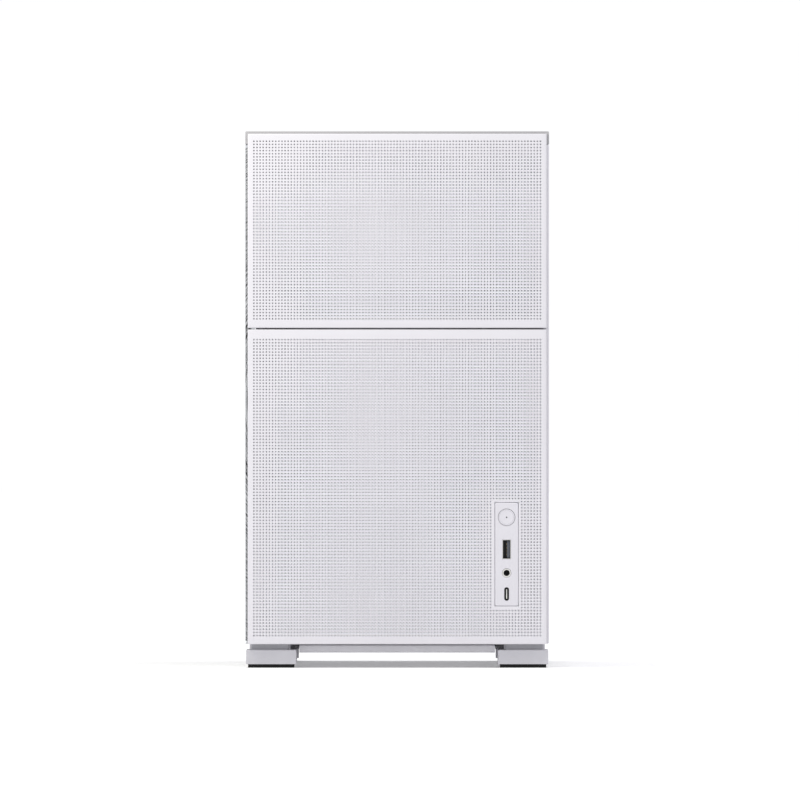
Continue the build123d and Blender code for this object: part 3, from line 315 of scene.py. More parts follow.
# Black nickel plating for the USB-C shell. The same dark metal fills the cross of each screw head,
# where it paints the shade of the recess.
DARK_NICKEL_AND_RECESS_SHADE = surface(
    "black_nickel_and_recess_shade", (0.018, 0.018, 0.020), 0.34, metal=0.3, vary=0.05, patch=80, grain=2600, relief=0.04
)
GOLD = surface(
    "gold_contacts", (0.83, 0.60, 0.25), 0.25, metal=1, vary=0.04, patch=200, grain=3000, relief=0.03
)
BRASS = surface(
    "brass", (0.68, 0.50, 0.22), 0.30, metal=1, vary=0.06, patch=200, grain=2600, relief=0.06
)
ALUMINIUM = surface(
    "bare_aluminium",
    (0.72, 0.73, 0.75),
    0.30,
    metal=1,
    vary=0.04,
    patch=30,
    grain=700,
    relief=0.08,
    stretch=(1, 9, 1),
)
DARK_ALUMINIUM = surface(
    "dark_aluminium",
    (0.060, 0.060, 0.066),
    0.38,
    metal=0.7,
    vary=0.10,
    patch=30,
    grain=900,
    relief=0.10,
    stretch=(1, 1, 12),
)
CABLE = surface(
    "cable_jacket", (0.020, 0.020, 0.022), 0.48, vary=0.15, patch=200, grain=2200, relief=0.25
)
SPACER_PLASTIC = surface(
    "spacer_plastic", (0.38, 0.38, 0.41), 0.50, vary=0.03, patch=90, grain=3000, relief=0.12
)
TRAY_PLASTIC = surface(
    "tray_plastic", (0.55, 0.545, 0.58), 0.46, vary=0.02, patch=60, grain=3600, relief=0.12
)
GROUND_EDGE = surface(
    "ground_glass_edge", (0.46, 0.47, 0.48), 0.35, vary=0.02, patch=40, grain=3000, relief=0.1
)
ENAMEL = surface("white_enamel", (0.78, 0.78, 0.80), 0.30, vary=0.01, patch=60, grain=2000, relief=0.02)
CERAMIC = surface(
    "ceramic_chips", (0.30, 0.22, 0.14), 0.50, vary=0.15, patch=300, grain=3000, relief=0.05
)
print("finishes", len(bpy.data.materials))

# %% [markdown]
# ## The dust nets
# The nets are woven nylon, with threads and gaps of about half a millimetre each. Modelling each
# thread would cost far more than it shows, so fine waves crossed at right angles raise the threads in
# the relief instead.

# %% Dust net
THREAD = 0.0005


def joined(material, operation, first, second):
    """Combines two patterns with a sum or a product."""
    both = add_node(material, "Math")
    both.operation = operation
    material.node_tree.links.new(first, both.inputs[0])
    material.node_tree.links.new(second, both.inputs[1])
    return both.outputs[0]


def woven_net(name, colour, thread):
    """A net: waves along all three axes, so that threads cross whichever way the net lies."""
    material = surface(name, colour, 0.62, vary=0.03, patch=30)
    shader = material.node_tree.nodes["Principled BSDF"]
    where = place_on(material)
    waves = []
    for axis in ("X", "Y", "Z"):
        wave = add_node(material, "TexWave", Vector=where, Scale=1 / (thread * math.tau))
        wave.bands_direction = axis
        waves.append(wave.outputs["Fac"])
    threads = waves[0]
    for wave in waves[1:]:
        threads = joined(material, "ADD", threads, wave)
    bump = add_node(material, "Bump", Height=threads, Strength=0.4, Distance=RELIEF_HEIGHT)
    material.node_tree.links.new(bump.outputs["Normal"], shader.inputs["Normal"])
    return material


NET = woven_net("dust_net", (0.90, 0.89, 0.93), THREAD)
print("threads", THREAD / MM, "mm")

# %% [markdown]
# ## The circuit boards
# Copper tracks lie under a dark solder mask and only just show through it. Thin diagonal bands are
# multiplied by a blocky noise, so that they start and stop like tracks. Drawing real tracks would need
# a picture, and at this distance nobody could tell.

# %% Circuit board


def circuit_board(name, mask, track):
    """Solder mask over copper tracks: thin bands that a coarse noise lets through here and there."""
    material = surface(name, mask, 0.34, vary=0.08, patch=120, grain=1800, relief=0.05, coat=0.3)
    shader = material.node_tree.nodes["Principled BSDF"]
    where = place_on(material)
    bands = add_node(material, "TexWave", Vector=where, Scale=170.0, Distortion=3.0, Detail=0.0)
    bands.bands_direction = "DIAGONAL"
    zones = add_node(material, "TexVoronoi", Vector=where, Scale=70.0)
    zones.distance = "CHEBYCHEV"
    tracks = joined(material, "MULTIPLY", bands.outputs["Fac"], zones.outputs["Distance"])
    colour = ramp(material, tracks, mask, track, 0.28, 0.36)
    material.node_tree.links.new(colour, shader.inputs["Base Color"])
    return material


BOARD = circuit_board("board_mask", (0.012, 0.020, 0.018), (0.030, 0.050, 0.044))
print("board finish", BOARD.name)

# %% [markdown]
# ## The glass
# The pane is nearly clear. A true refracting pane would darken the inside and render slowly, so light
# passes straight through it and a small constant share of it is mirrored instead.

# %% Clear glass


def clear_glass(name, tint, shine):
    """Thin tempered glass: light goes straight through, and a little of it is mirrored."""
    material = bpy.data.materials.new(name)
    material.use_nodes = True
    mirror = material.node_tree.nodes["Principled BSDF"]
    where = place_on(material)
    wave = add_node(material, "TexNoise", Vector=where, Scale=9.0, Detail=1.0).outputs["Fac"]
    smooth = add_node(material, "MapRange", Value=wave, To_Min=0.01, To_Max=0.035)
    material.node_tree.links.new(smooth.outputs["Result"], mirror.inputs["Roughness"])
    mirror.inputs["Base Color"].default_value = (0.9, 0.92, 0.92, 1)
    mirror.inputs["Metallic"].default_value = 1.0
    see_through = add_node(material, "BsdfTransparent", Color=(*tint, 1))
    mix = add_node(material, "MixShader", Fac=shine)
    material.node_tree.links.new(see_through.outputs[0], mix.inputs[1])
    material.node_tree.links.new(mirror.outputs[0], mix.inputs[2])
    output = material.node_tree.nodes["Material Output"]
    material.node_tree.links.new(mix.outputs[0], output.inputs["Surface"])
    return material


GLASS = clear_glass("tempered_glass", (0.90, 0.91, 0.92), 0.05)
print("glass finish", GLASS.name)

# %% [markdown]
# ## Shape builders
# Most parts of a computer are cut, folded or moulded from flat stock, so a box with eased edges and a
# turned rod go a long way. Both add to one bmesh, so a piece with a hundred details stays one object.
# The ease matters: a real edge is never perfectly sharp, and it is the edge that catches the light.

# %% Boxes and rods
EASE_SEGMENTS, ROUND = 2, 0.5


def dress(bm, verts, ease, slot, sharp=0.1):
    """Eases the sharp edges of what was just added, and gives its faces a material slot."""
    faces = {face for vert in verts for face in vert.link_faces}
    for face in faces:
        face.material_index = slot
    if ease > 0:
        edges = {edge for vert in verts for edge in vert.link_edges}
        edges = [edge for edge in edges if edge.calc_face_angle(0) > sharp]
        made = bmesh.ops.bevel(
            bm,
            geom=edges,
            offset=ease,
            segments=EASE_SEGMENTS,
            affect="EDGES",
            profile=ROUND,
        )
        for face in made["faces"]:
            face.material_index = slot


def add_box(bm, low, high, ease=0.0, slot=0):
    """A box between two corners in metres, with its edges eased."""
    size = Vector(high) - Vector(low)
    matrix = Matrix.Translation((Vector(high) + Vector(low)) / 2) @ Matrix.Diagonal((*size, 1))
    made = bmesh.ops.create_cube(bm, size=1, matrix=matrix)
    dress(bm, made["verts"], ease, slot)


def add_rod(bm, start, end, radius, sides=24, ease=0.0, slot=0):
    """A round bar from start to end."""
    start, end = Vector(start), Vector(end)
    turn = (end - start).to_track_quat("Z", "Y").to_matrix().to_4x4()
    matrix = Matrix.Translation((start + end) / 2) @ turn
    made = bmesh.ops.create_cone(
        bm,
        cap_ends=True,
        segments=sides,
        radius1=radius,
        radius2=radius,
        depth=(end - start).length,
        matrix=matrix,
    )
    dress(bm, made["verts"], ease, slot, sharp=math.radians(50))


print("eased edges have", EASE_SEGMENTS, "segments")

# %% [markdown]
# ## Turned parts
# Anything round with steps in it, such as a knob, a jack or a fan hub, is a profile turned about an
# axis. The profile is closed, so the part comes out closed too. Stacked cylinders would do the same
# job, but they would leave faces inside where they meet.

# %% Turned parts


def add_lathe(bm, start, axis, profile, sides=32, slot=0):
    """Turns a closed profile of (along, radius) points about an axis."""
    turn = Vector(axis).to_track_quat("Z", "Y").to_matrix()
    rings = []
    for along, radius in profile:
        ring = []
        for step in range(sides):
            angle = math.tau * step / sides
            local = Vector((radius * math.cos(angle), radius * math.sin(angle), along))
            ring.append(bm.verts.new(Vector(start) + turn @ local))
        rings.append(ring)
    for ring, after in zip(rings, rings[1:] + rings[:1]):
        for step in range(sides):
            other = (step + 1) % sides
            face = bm.faces.new((ring[step], ring[other], after[other], after[step]))
            face.material_index = slot


def turned_mm(profile):
    """A lathe profile in millimetres, as metres."""
    return [(along * MM, radius * MM) for along, radius in profile]


print("one millimetre is", MM, "metres")

# %% [markdown]
# ## From shape to piece
# A piece is a mesh with its finishes that rides on one body of the model. If it stands for a CAD part,
# that part is hidden, and the piece moves in its place. Doing this in one call means that no piece can
# be forgotten and stay behind when its body moves.

# %% From shape to piece


def mesh_from(bm, name, smooth_deg=35):
    """Turns a bmesh into a mesh whose faces point outwards and whose shallow edges look smooth."""
    mesh = bpy.data.meshes.new(name)
    bmesh.ops.recalc_face_normals(bm, faces=bm.faces)
    bm.to_mesh(mesh)
    bm.free()
    mesh.shade_smooth()
    mesh.set_sharp_from_angle(angle=math.radians(smooth_deg))
    return mesh


def piece(name, mesh, body, finish, stands_for=()):
    """Makes the object, gives it its finishes and lets it ride on its body."""
    thing = bpy.data.objects.new(name, mesh)
    bpy.context.scene.collection.objects.link(thing)
    for material in finish if isinstance(finish, (list, tuple)) else [finish]:
        mesh.materials.append(material)
    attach(thing, body)
    if stands_for:
        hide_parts(*stands_for)
    return thing


def box_mm(node):
    """A CAD part's box as low and high corners, in millimetres."""
    low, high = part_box(node)
    return [v / MM for v in low], [v / MM for v in high]


def add_box_mm(bm, low, high, ease=0.0, slot=0):
    """A box between two corners in millimetres."""
    add_box(bm, Vector(low) * MM, Vector(high) * MM, ease * MM, slot)


# %% [markdown]
# ## Perforated steel
# The front, the top and the right side are folded pans punched with a fine square grid. A picture of
# holes would look flat from the side, so the holes are really cut: the sheet is a grid whose lines are
# the two edges of every hole, and the cells in the holes are left out. The lines come first.

# %% Lines of the grid
PITCH, HOLE = 2.10, 1.00
SHEET_T, BEND = 0.5, 0.9
BEND_STEPS = [math.radians(22.5 * step) for step in range(5)]


def grid_lines(low, high, first, count, extra=()):
    """Positions of the ends, of both edges of every hole and of extra lines, in order."""
    lines = {round(low, 3), round(high, 3)} | {round(line, 3) for line in extra}
    for number in range(count):
        middle = first + number * PITCH
        lines |= {round(middle - HOLE / 2, 3), round(middle + HOLE / 2, 3)}
    return sorted(lines)


def in_hole(value, first, count):
    """Whether a position lies within one of a row of holes."""
    number = round((value - first) / PITCH)
    return 0 <= number < count and abs(value - first - number * PITCH) < HOLE / 2


print("holes", HOLE, "mm wide, one every", PITCH, "mm")

# %% [markdown]
# ## A sheet made cell by cell
# Those lines cut the sheet into small cells, each solid or open. A boolean cut of thousands of holes
# would be slow and leave slivers, while here each solid cell is one clean square on each face. Cells
# share their corner points, which a table keeps, so the finished sheet is closed.

# %% Sheet of cells


class Sheet:
    """A flat sheet with thickness, built cell by cell. place(u, v, depth) gives a point in mm."""

    def __init__(self, place):
        self.place = place
        self.bm = bmesh.new()
        self.found = {}

    def vert(self, u, v, depth):
        """The point at a place, made only once."""
        key = (round(u, 3), round(v, 3), round(depth, 3))
        if key not in self.found:
            self.found[key] = self.bm.verts.new(Vector(self.place(u, v, depth)) * MM)
        return self.found[key]

    def face(self, *corners, slot=0):
        """A face between corners, unless two of them fall together."""
        made = [self.vert(*corner) for corner in corners]
        if len(set(made)) == len(made):
            self.bm.faces.new(made).material_index = slot

    def cells(self, us, vs, is_open, rounded):
        """Front and back of the solid cells, and a wall wherever solid meets open."""
        columns, rows, depth = len(us) - 1, len(vs) - 1, SHEET_T
        open_cell = {}
        for i in range(columns):
            for j in range(rows):
                open_cell[i, j] = is_open((us[i] + us[i + 1]) / 2, (vs[j] + vs[j + 1]) / 2)
        for key in rounded:
            open_cell[key] = False
        for (i, j), hollow in open_cell.items():
            if hollow or (i, j) in rounded:
                continue
            u0, u1, v0, v1 = us[i], us[i + 1], vs[j], vs[j + 1]
            self.face((u0, v0, 0), (u1, v0, 0), (u1, v1, 0), (u0, v1, 0))
            self.face((u0, v1, depth), (u1, v1, depth), (u1, v0, depth), (u0, v0, depth))
            if open_cell.get((i + 1, j)):
                self.face((u1, v0, 0), (u1, v0, depth), (u1, v1, depth), (u1, v1, 0))
            if open_cell.get((i - 1, j)):
                self.face((u0, v1, 0), (u0, v1, depth), (u0, v0, depth), (u0, v0, 0))
            if open_cell.get((i, j + 1)):
                self.face((u1, v1, 0), (u1, v1, depth), (u0, v1, depth), (u0, v1, 0))
            if open_cell.get((i, j - 1)):
                self.face((u0, v0, 0), (u0, v0, depth), (u1, v0, depth), (u1, v0, 0))
        for (i, j), (right, up) in rounded.items():
            self.corner(us[i], us[i + 1], vs[j], vs[j + 1], right, up)

    def corner(self, u0, u1, v0, v1, right, up):
        """Fills the outer corner of a cut-out up to an arc. right and up say which corner it is."""
        u, far_u = (u1, u0) if right else (u0, u1)
        v, far_v = (v1, v0) if up else (v0, v1)
        arc = []
        for angle in BEND_STEPS:
            arc.append((far_u + (u - far_u) * math.sin(angle), far_v + (v - far_v) * math.cos(angle)))
        for start, end in zip(arc, arc[1:]):
            self.face((u, v, 0), (*start, 0), (*end, 0))
            self.face((u, v, SHEET_T), (*end, SHEET_T), (*start, SHEET_T))
            self.face((*start, 0), (*start, SHEET_T), (*end, SHEET_T), (*end, 0))

    def rim(self, us, vs, rim_depth, rim_slot):
        """Rolls the outline over the bend, down the outside, and back up the inside."""
        path = [(u, vs[0]) for u in us] + [(us[-1], v) for v in vs[1:]]
        path += [(u, vs[-1]) for u in reversed(us[:-1])] + [(us[0], v) for v in reversed(vs[1:-1])]
        steps = [(BEND * math.sin(turn), BEND * (1 - math.cos(turn))) for turn in BEND_STEPS]
        steps += [(BEND, rim_depth), (0, rim_depth), (0, SHEET_T)]
        rings = []
        for out, down in steps:
            ring = []
            for u, v in path:
                side_u = -1 if u == us[0] else (1 if u == us[-1] else 0)
                side_v = -1 if v == vs[0] else (1 if v == vs[-1] else 0)
                ring.append((u + side_u * out, v + side_v * out, down))
            rings.append(ring)
        for ring, after in zip(rings, rings[1:]):
            for here in range(len(path)):
                there = (here + 1) % len(path)
                self.face(ring[there], ring[here], after[here], after[there], slot=rim_slot)


print("bend in", len(BEND_STEPS) - 1, "steps")

# %% [markdown]
# ## From sheet to pan
# One call now makes a whole pan: it lays out the lines, says which cells are open, rounds the corners
# of a cut-out and rolls the rim. All four panels of the tower are this one call with their own sizes.

# %% Perforated pan
CUT_OUT_MARGIN, CUT_OUT_RADIUS = 1.2, 1.2


def perforated_pan(name, node, body, place, outer, rim_depth, holes, cut_out=None, rim_slot=0):
    """A folded, punched pan. outer is its (u, v) outline and holes is (first, count) along u and v."""
    (u0, u1), (v0, v1) = outer
    (first_u, count_u), (first_v, count_v) = holes
    margin, radius = CUT_OUT_MARGIN, CUT_OUT_RADIUS
    extra_u, extra_v = [], []
    if cut_out:
        (cu0, cu1), (cv0, cv1) = cut_out
        extra_u = [cu0, cu0 + radius, cu1 - radius, cu1]
        extra_v = [cv0, cv0 + radius, cv1 - radius, cv1]
    us = grid_lines(u0 + BEND, u1 - BEND, first_u, count_u, extra_u)
    vs = grid_lines(v0 + BEND, v1 - BEND, first_v, count_v, extra_v)

    def is_open(u, v):
        if cut_out:
            if cu0 < u < cu1 and cv0 < v < cv1:
                return True
            if cu0 - margin < u < cu1 + margin and cv0 - margin < v < cv1 + margin:
                return False
        return in_hole(u, first_u, count_u) and in_hole(v, first_v, count_v)

    rounded = {}
    if cut_out:
        where_u = {round(cu0, 3): False, round(cu1 - radius, 3): True}
        where_v = {round(cv0, 3): False, round(cv1 - radius, 3): True}
        for line_u, right in where_u.items():
            for line_v, up in where_v.items():
                rounded[us.index(line_u), vs.index(line_v)] = (right, up)
    sheet = Sheet(place)
    sheet.cells(us, vs, is_open, rounded)
    sheet.rim(us, vs, rim_depth, rim_slot)
    mesh = mesh_from(sheet.bm, name)
    # Slot 1 is the darker rim coat, which paints the shade of the recessed seam.
    piece(name, mesh, body, [COAT, RIM_SHADE_COAT], stands_for=[node])
    print(name, count_u, "x", count_v, "holes,", len(mesh.polygons), "faces")


# %% [markdown]
# ## The front panels
# Each front panel is one of those pans, 14 mm deep, with four tabs inside its rim. A snap stud on
# each tab goes into a socket in the chassis, which is why such a panel pulls straight off. The lower
# panel is cut out round the connectors, with a plain margin left so that no hole is cut in half.

# %% Front panels
upper_low, upper_high = box_mm("front_panel_upper")
lower_low, lower_high = box_mm("front_panel_lower")
bezel_low, bezel_high = box_mm("port_bezel")
FRONT_Y = upper_low[1]
COLUMNS, UPPER_ROWS, LOWER_ROWS = 93, 58, 96
FIRST_X = -PITCH * (COLUMNS - 1) / 2
UPPER_MARGIN, LOWER_MARGIN = 6.15, 5.9
FRONT_RIM = 14.0
WINDOW_GAP = 0.35


def on_front(u, v, depth):
    """A place on the front: u goes right, v goes up."""
    return (u, FRONT_Y + depth, v)


perforated_pan(
    "upper_front_pan",
    "front_panel_upper",
    "front_upper",
    on_front,
    ((upper_low[0], upper_high[0]), (upper_low[2], upper_high[2])),
    FRONT_RIM,
    ((FIRST_X, COLUMNS), (upper_low[2] + UPPER_MARGIN, UPPER_ROWS)),
)
perforated_pan(
    "lower_front_pan",
    "front_panel_lower",
    "front_lower",
    on_front,
    ((lower_low[0], lower_high[0]), (lower_low[2], lower_high[2])),
    FRONT_RIM,
    ((FIRST_X, COLUMNS), (lower_low[2] + LOWER_MARGIN, LOWER_ROWS)),
    cut_out=(
        (bezel_low[0] - WINDOW_GAP, bezel_high[0] + WINDOW_GAP),
        (bezel_low[2] - WINDOW_GAP, bezel_high[2] + WINDOW_GAP),
    ),
)

# %% [markdown]
# ## Tabs and snap studs
# A snap stud is a pin with a groove near its tip, where the socket's spring grips it. It is turned
# about its own axis here, the way it is made on a lathe, and set on a small welded tab.

# %% Tabs and studs
STUD = [
    (0, 0.1),
    (0, 2.4),
    (4.6, 2.4),
    (4.9, 1.8),
    (6.3, 1.8),
    (6.6, 2.4),
    (8.1, 2.4),
    (9.0, 1.5),
    (9.0, 0.1),
]
FRONT_TAB_X = (85.6, 99.9)
FRONT_TAB_Y = (-208, -207)
FRONT_TAB_HALF = 7
FRONT_STUD_X = 90
UPPER_STUD_ZS, LOWER_STUD_ZS = (240, 330), (40, 214)


def add_stud(bm, at, axis):
    """A snap stud that starts at a point in mm and points along an axis."""
    add_lathe(bm, Vector(at) * MM, axis, turned_mm(STUD), sides=20, slot=1)


def front_tabs(name, body, zs):
    """Two tabs with their studs at each height."""
    bm = bmesh.new()
    tab_y0, tab_y1 = FRONT_TAB_Y
    for z in zs:
        for side in (-1, 1):
            low, high = sorted((side * FRONT_TAB_X[0], side * FRONT_TAB_X[1]))
            add_box_mm(bm, (low, tab_y0, z - FRONT_TAB_HALF), (high, tab_y1, z + FRONT_TAB_HALF), 0.2)
            add_stud(bm, (side * FRONT_STUD_X, tab_y1, z), (0, 1, 0))
    piece(name, mesh_from(bm, name), body, [COAT, ZINC])


front_tabs("upper_front_tabs", "front_upper", UPPER_STUD_ZS)
front_tabs("lower_front_tabs", "front_lower", LOWER_STUD_ZS)
print("tabs", 2 * len(UPPER_STUD_ZS + LOWER_STUD_ZS))

# %% [markdown]
# ## The front connectors
# From the top they are a power button with a tiny light in it, a USB-A port stood on its side, an
# audio jack and a USB-C port. Each is small enough that only three things read: a metal rim, a dark
# throat and a tongue in it. Ports are drawn as outlines that are pushed back, like a cutter in dough.

# %% Outlines pushed back
PORT_X = (bezel_low[0] + bezel_high[0]) / 2


def add_outline(bm, outline, y0, y1, slot=0, hole=None):
    """Pushes a closed (x, z) outline from y0 to y1, in mm. A hole of as many points makes it a tube."""
    rings = {}
    for label, points in (("out", outline), ("in", hole)):
        for y in (y0, y1):
            if points:
                rings[label, y] = [bm.verts.new(Vector((x, y, z)) * MM) for x, z in points]
    count, made = len(outline), []
    for k in range(count):
        m = (k + 1) % count
        out0, out1 = rings["out", y0], rings["out", y1]
        made.append(bm.faces.new((out0[k], out0[m], out1[m], out1[k])))
        if hole:
            in0, in1 = rings["in", y0], rings["in", y1]
            made.append(bm.faces.new((in0[m], in0[k], in1[k], in1[m])))
            made.append(bm.faces.new((out0[m], out0[k], in0[k], in0[m])))
            made.append(bm.faces.new((out1[k], out1[m], in1[m], in1[k])))
    if not hole:
        made += [bm.faces.new(rings["out", y0]), bm.faces.new(rings["out", y1][::-1])]
    for face in made:
        face.material_index = slot


def rounded_rect(x, z, width, height, radius, steps=4):
    """The corner points of a rounded rectangle about (x, z), in mm."""
    points = []
    for corner, (sx, sz) in enumerate(((1, 1), (-1, 1), (-1, -1), (1, -1))):
        for step in range(steps + 1):
            angle = math.radians(90 * corner + 90 * step / steps)
            middle_x, middle_z = x + sx * (width / 2 - radius), z + sz * (height / 2 - radius)
            points.append((middle_x + radius * math.cos(angle), middle_z + radius * math.sin(angle)))
    return points


def stadium(x, z, width, height):
    """An upright outline whose ends are half circles."""
    return rounded_rect(x, z, width, height, min(width, height) / 2, steps=8)


print("ports stand at x", round(PORT_X, 2), "mm")

# %% [markdown]
# ## The power button
# The cap is a shallow dish with a bead round it and a flange behind, which keeps it in the bezel. It is
# round, so one turned profile gives all of it, and a rod behind it is the stem that presses the
# switch. The light is a dark pin in the middle, set a hair below the surface.

# %% Power button
button_low, button_high = box_mm("power_button")
button_front = button_low[1]
BUTTON_Z = 101.5
BUTTON_PROFILE = [
    (0.30, 0.52),
    (0.28, 2.0),
    (0.20, 3.4),
    (0.05, 4.55),
    (0.22, 4.72),
    (0.22, 4.86),
    (0.0, 5.0),
    (0.0, 5.3),
    (0.08, 5.5),
    (0.3, 5.6),
    (2.9, 5.6),
    (2.9, 6.5),
    (4.1, 6.5),
    (4.1, 0.52),
]
bm = bmesh.new()
button_place = Vector((PORT_X, button_front, BUTTON_Z)) * MM
add_lathe(bm, button_place, (0, 1, 0), turned_mm(BUTTON_PROFILE), sides=64)
stem_end = Vector((PORT_X, button_high[1], BUTTON_Z)) * MM
add_rod(bm, button_place + Vector((0, 4.1 * MM, 0)), stem_end, 2.2 * MM, 24)
light_start = button_place + Vector((0, 0.35 * MM, 0))
light_end = button_place + Vector((0, 4 * MM, 0))
add_rod(bm, light_start, light_end, 0.5 * MM, 20, slot=1)
piece(
    "power_button_cap",
    mesh_from(bm, "power_button_cap"),
    "power_button",
    [WHITE_PLASTIC, BLACK_PLASTIC],
    ["power_button"],
)
print("button at", BUTTON_Z, "mm")

# %% [markdown]
# ## The USB-A port
# A folded metal shell, closed behind, with a flat tongue to one side that carries four gold contacts. A
# black sleeve and a black back plate inside the shell are painted shade: without them the shell would
# shine inside, and the throat would not read.

# %% USB-A port
usb_low, usb_high = box_mm("usb_a_port")
USB_Z = (usb_low[2] + usb_high[2]) / 2
bm = bmesh.new()
shell = rounded_rect(PORT_X, USB_Z, 5.7, 13.1, 0.45)
mouth = rounded_rect(PORT_X, USB_Z, 5.1, 12.5, 0.25)
shade_sleeve = rounded_rect(PORT_X, USB_Z, 5.08, 12.48, 0.24)
throat = rounded_rect(PORT_X, USB_Z, 4.9, 12.3, 0.2)
shade_back_plate = rounded_rect(PORT_X, USB_Z, 4.88, 12.28, 0.2)
front_y, back_y = usb_low[1], usb_high[1]
wall_y = back_y - 1
add_outline(bm, shell, front_y, wall_y, 0, mouth)
add_outline(bm, shell, wall_y, back_y)
# Painted shade: the black sleeve and the back plate darken the inside of the shell.
add_outline(bm, shade_sleeve, front_y + 0.25, wall_y, 1, throat)
add_outline(bm, shade_back_plate, back_y - 2, wall_y, 1)
tongue_low = (PORT_X + 0.2, front_y + 0.9, USB_Z - 5.6)
tongue_high = (PORT_X + 2.3, wall_y, USB_Z + 5.6)
add_box_mm(bm, tongue_low, tongue_high, 0.15, 2)
for number in range(4):
    z = USB_Z - 3.5 + 7.0 * number / 3
    contact_low = (PORT_X + 0.1, front_y + 1.4, z - 0.5)
    contact_high = (PORT_X + 0.25, back_y - 2, z + 0.5)
    add_box_mm(bm, contact_low, contact_high, 0, 3)
piece(
    "usb_a_socket",
    mesh_from(bm, "usb_a_socket"),
    body_of["usb_a_port"],
    [NICKEL, BLACK_PLASTIC, SLATE_PLASTIC, GOLD],
    ["usb_a_port"],
)
print("usb-a at", round(USB_Z, 2), "mm")

# %% [markdown]
# ## The USB-C port
# The same again with round ends: a dark shell, a back plate, and a bright thin tongue in its middle.
# The tongue is 0.7 mm thick, so it is a plain box with eased edges rather than an outline of its own.

# %% USB-C port
usb_c_low, usb_c_high = box_mm("usb_c_port")
USB_C_Z = (usb_c_low[2] + usb_c_high[2]) / 2
bm = bmesh.new()
shell = stadium(PORT_X, USB_C_Z, 3.16, 9.0)
mouth = stadium(PORT_X, USB_C_Z, 2.3, 8.14)
mouth_end = stadium(PORT_X, USB_C_Z, 2.28, 8.12)
front_y, back_y = usb_c_low[1], usb_c_high[1]
wall_y = back_y - 1
add_outline(bm, shell, front_y, wall_y, 0, mouth)
add_outline(bm, shell, wall_y, back_y)
add_outline(bm, mouth_end, back_y - 2, wall_y)
tongue_low = (PORT_X - 0.35, front_y + 0.5, USB_C_Z - 3.2)
tongue_high = (PORT_X + 0.35, back_y - 2, USB_C_Z + 3.2)
add_box_mm(bm, tongue_low, tongue_high, 0.1, 1)
piece(
    "usb_c_socket",
    mesh_from(bm, "usb_c_socket"),
    body_of["usb_c_port"],
    [DARK_NICKEL_AND_RECESS_SHADE, NICKEL],
    ["usb_c_port"],
)
print("usb-c at", round(USB_C_Z, 2), "mm")

# %% [markdown]
# ## The audio jack and the bead of the bezel
# The jack is a bright ring in front of a dark barrel, and both are turned. The bezel sits in its
# window with a thin gap, and a bead a little behind the face closes it, so no light shines through.

# %% Audio jack and bead
jack_low, jack_high = box_mm("audio_jack")
JACK_Z = (jack_low[2] + jack_high[2]) / 2
jack_place = Vector((PORT_X, jack_low[1], JACK_Z)) * MM
bm = bmesh.new()
RING_PROFILE = [
    (0.5, 1.95),
    (0.12, 2.1),
    (0.0, 2.3),
    (0.0, 2.75),
    (0.12, 2.97),
    (0.35, 3.05),
    (3.0, 3.05),
    (3.0, 1.95),
]
BARREL_PROFILE = [
    (0.45, 1.80),
    (0.45, 1.94),
    (2.95, 1.94),
    (2.95, 3.0),
    (12.6, 3.0),
    (12.6, 0.2),
    (12.4, 0.2),
    (12.4, 1.80),
]
add_lathe(bm, jack_place, (0, 1, 0), turned_mm(RING_PROFILE), sides=48)
add_lathe(bm, jack_place, (0, 1, 0), turned_mm(BARREL_PROFILE), sides=48, slot=1)
piece(
    "audio_socket",
    mesh_from(bm, "audio_socket"),
    body_of["audio_jack"],
    [NICKEL, BLACK_PLASTIC],
    ["audio_jack"],
)

bm = bmesh.new()
bead_z = (bezel_low[2] + bezel_high[2]) / 2
width, height = bezel_high[0] - bezel_low[0], bezel_high[2] - bezel_low[2]
bead_out = rounded_rect(PORT_X, bead_z, width + 0.62, height + 0.62, 1.5)
bead_in = rounded_rect(PORT_X, bead_z, width + 0.02, height + 0.02, 1.2)
add_outline(bm, bead_out, bezel_low[1] + 0.5, bezel_low[1] + 2.0, 0, bead_in)
piece("bezel_bead", mesh_from(bm, "bezel_bead"), body_of["port_bezel"], WHITE_PLASTIC)
print("jack at", round(JACK_Z, 2), "mm")

# %% [markdown]
# ## The top cover and the right side
# The same punched pan lies flat as the top cover and stands as the right side panel. The cover blows
# out warm air over most of its length. The side panel is punched only beside the power supply, since
# behind the rest of it lies the mainboard tray, where no air passes.

# %% Top cover and right side
cover_low, cover_high = box_mm("top_cover")
side_low, side_high = box_mm("right_panel")
COVER_RIM_Z, SIDE_RIM_X = 353.5, 97.5


def on_top(u, v, depth):
    return (u, v, cover_high[2] - depth)


def on_right(u, v, depth):
    return (side_high[0] - depth, u, v)


COVER_Y1 = 214.6
perforated_pan(
    "top_cover_pan",
    "top_cover",
    "top_lid",
    on_top,
    ((cover_low[0], cover_high[0]), (cover_low[1], COVER_Y1)),
    cover_high[2] - COVER_RIM_Z,
    ((-PITCH * 28, 57), (-143.85, 160)),
    # The top cover's rim takes the darker coat, which paints the shade of the seam above the front
    # panel.
    rim_slot=1,
)
perforated_pan(
    "right_side_pan",
    "right_panel",
    "right_side",
    on_right,
    ((side_low[1], side_high[1]), (side_low[2], side_high[2])),
    side_high[0] - SIDE_RIM_X,
    ((-186.15, 70), (92.3, 119)),
)

# %% [markdown]
# ## Tabs of the cover
# Four tabs with studs point down into the top frame. Two more at the back are forked, so that each
# slides over the shank of a thumb screw, which then clamps it. A closed hole would have to be lifted
# off the screw, and that would mean taking the screw right out.

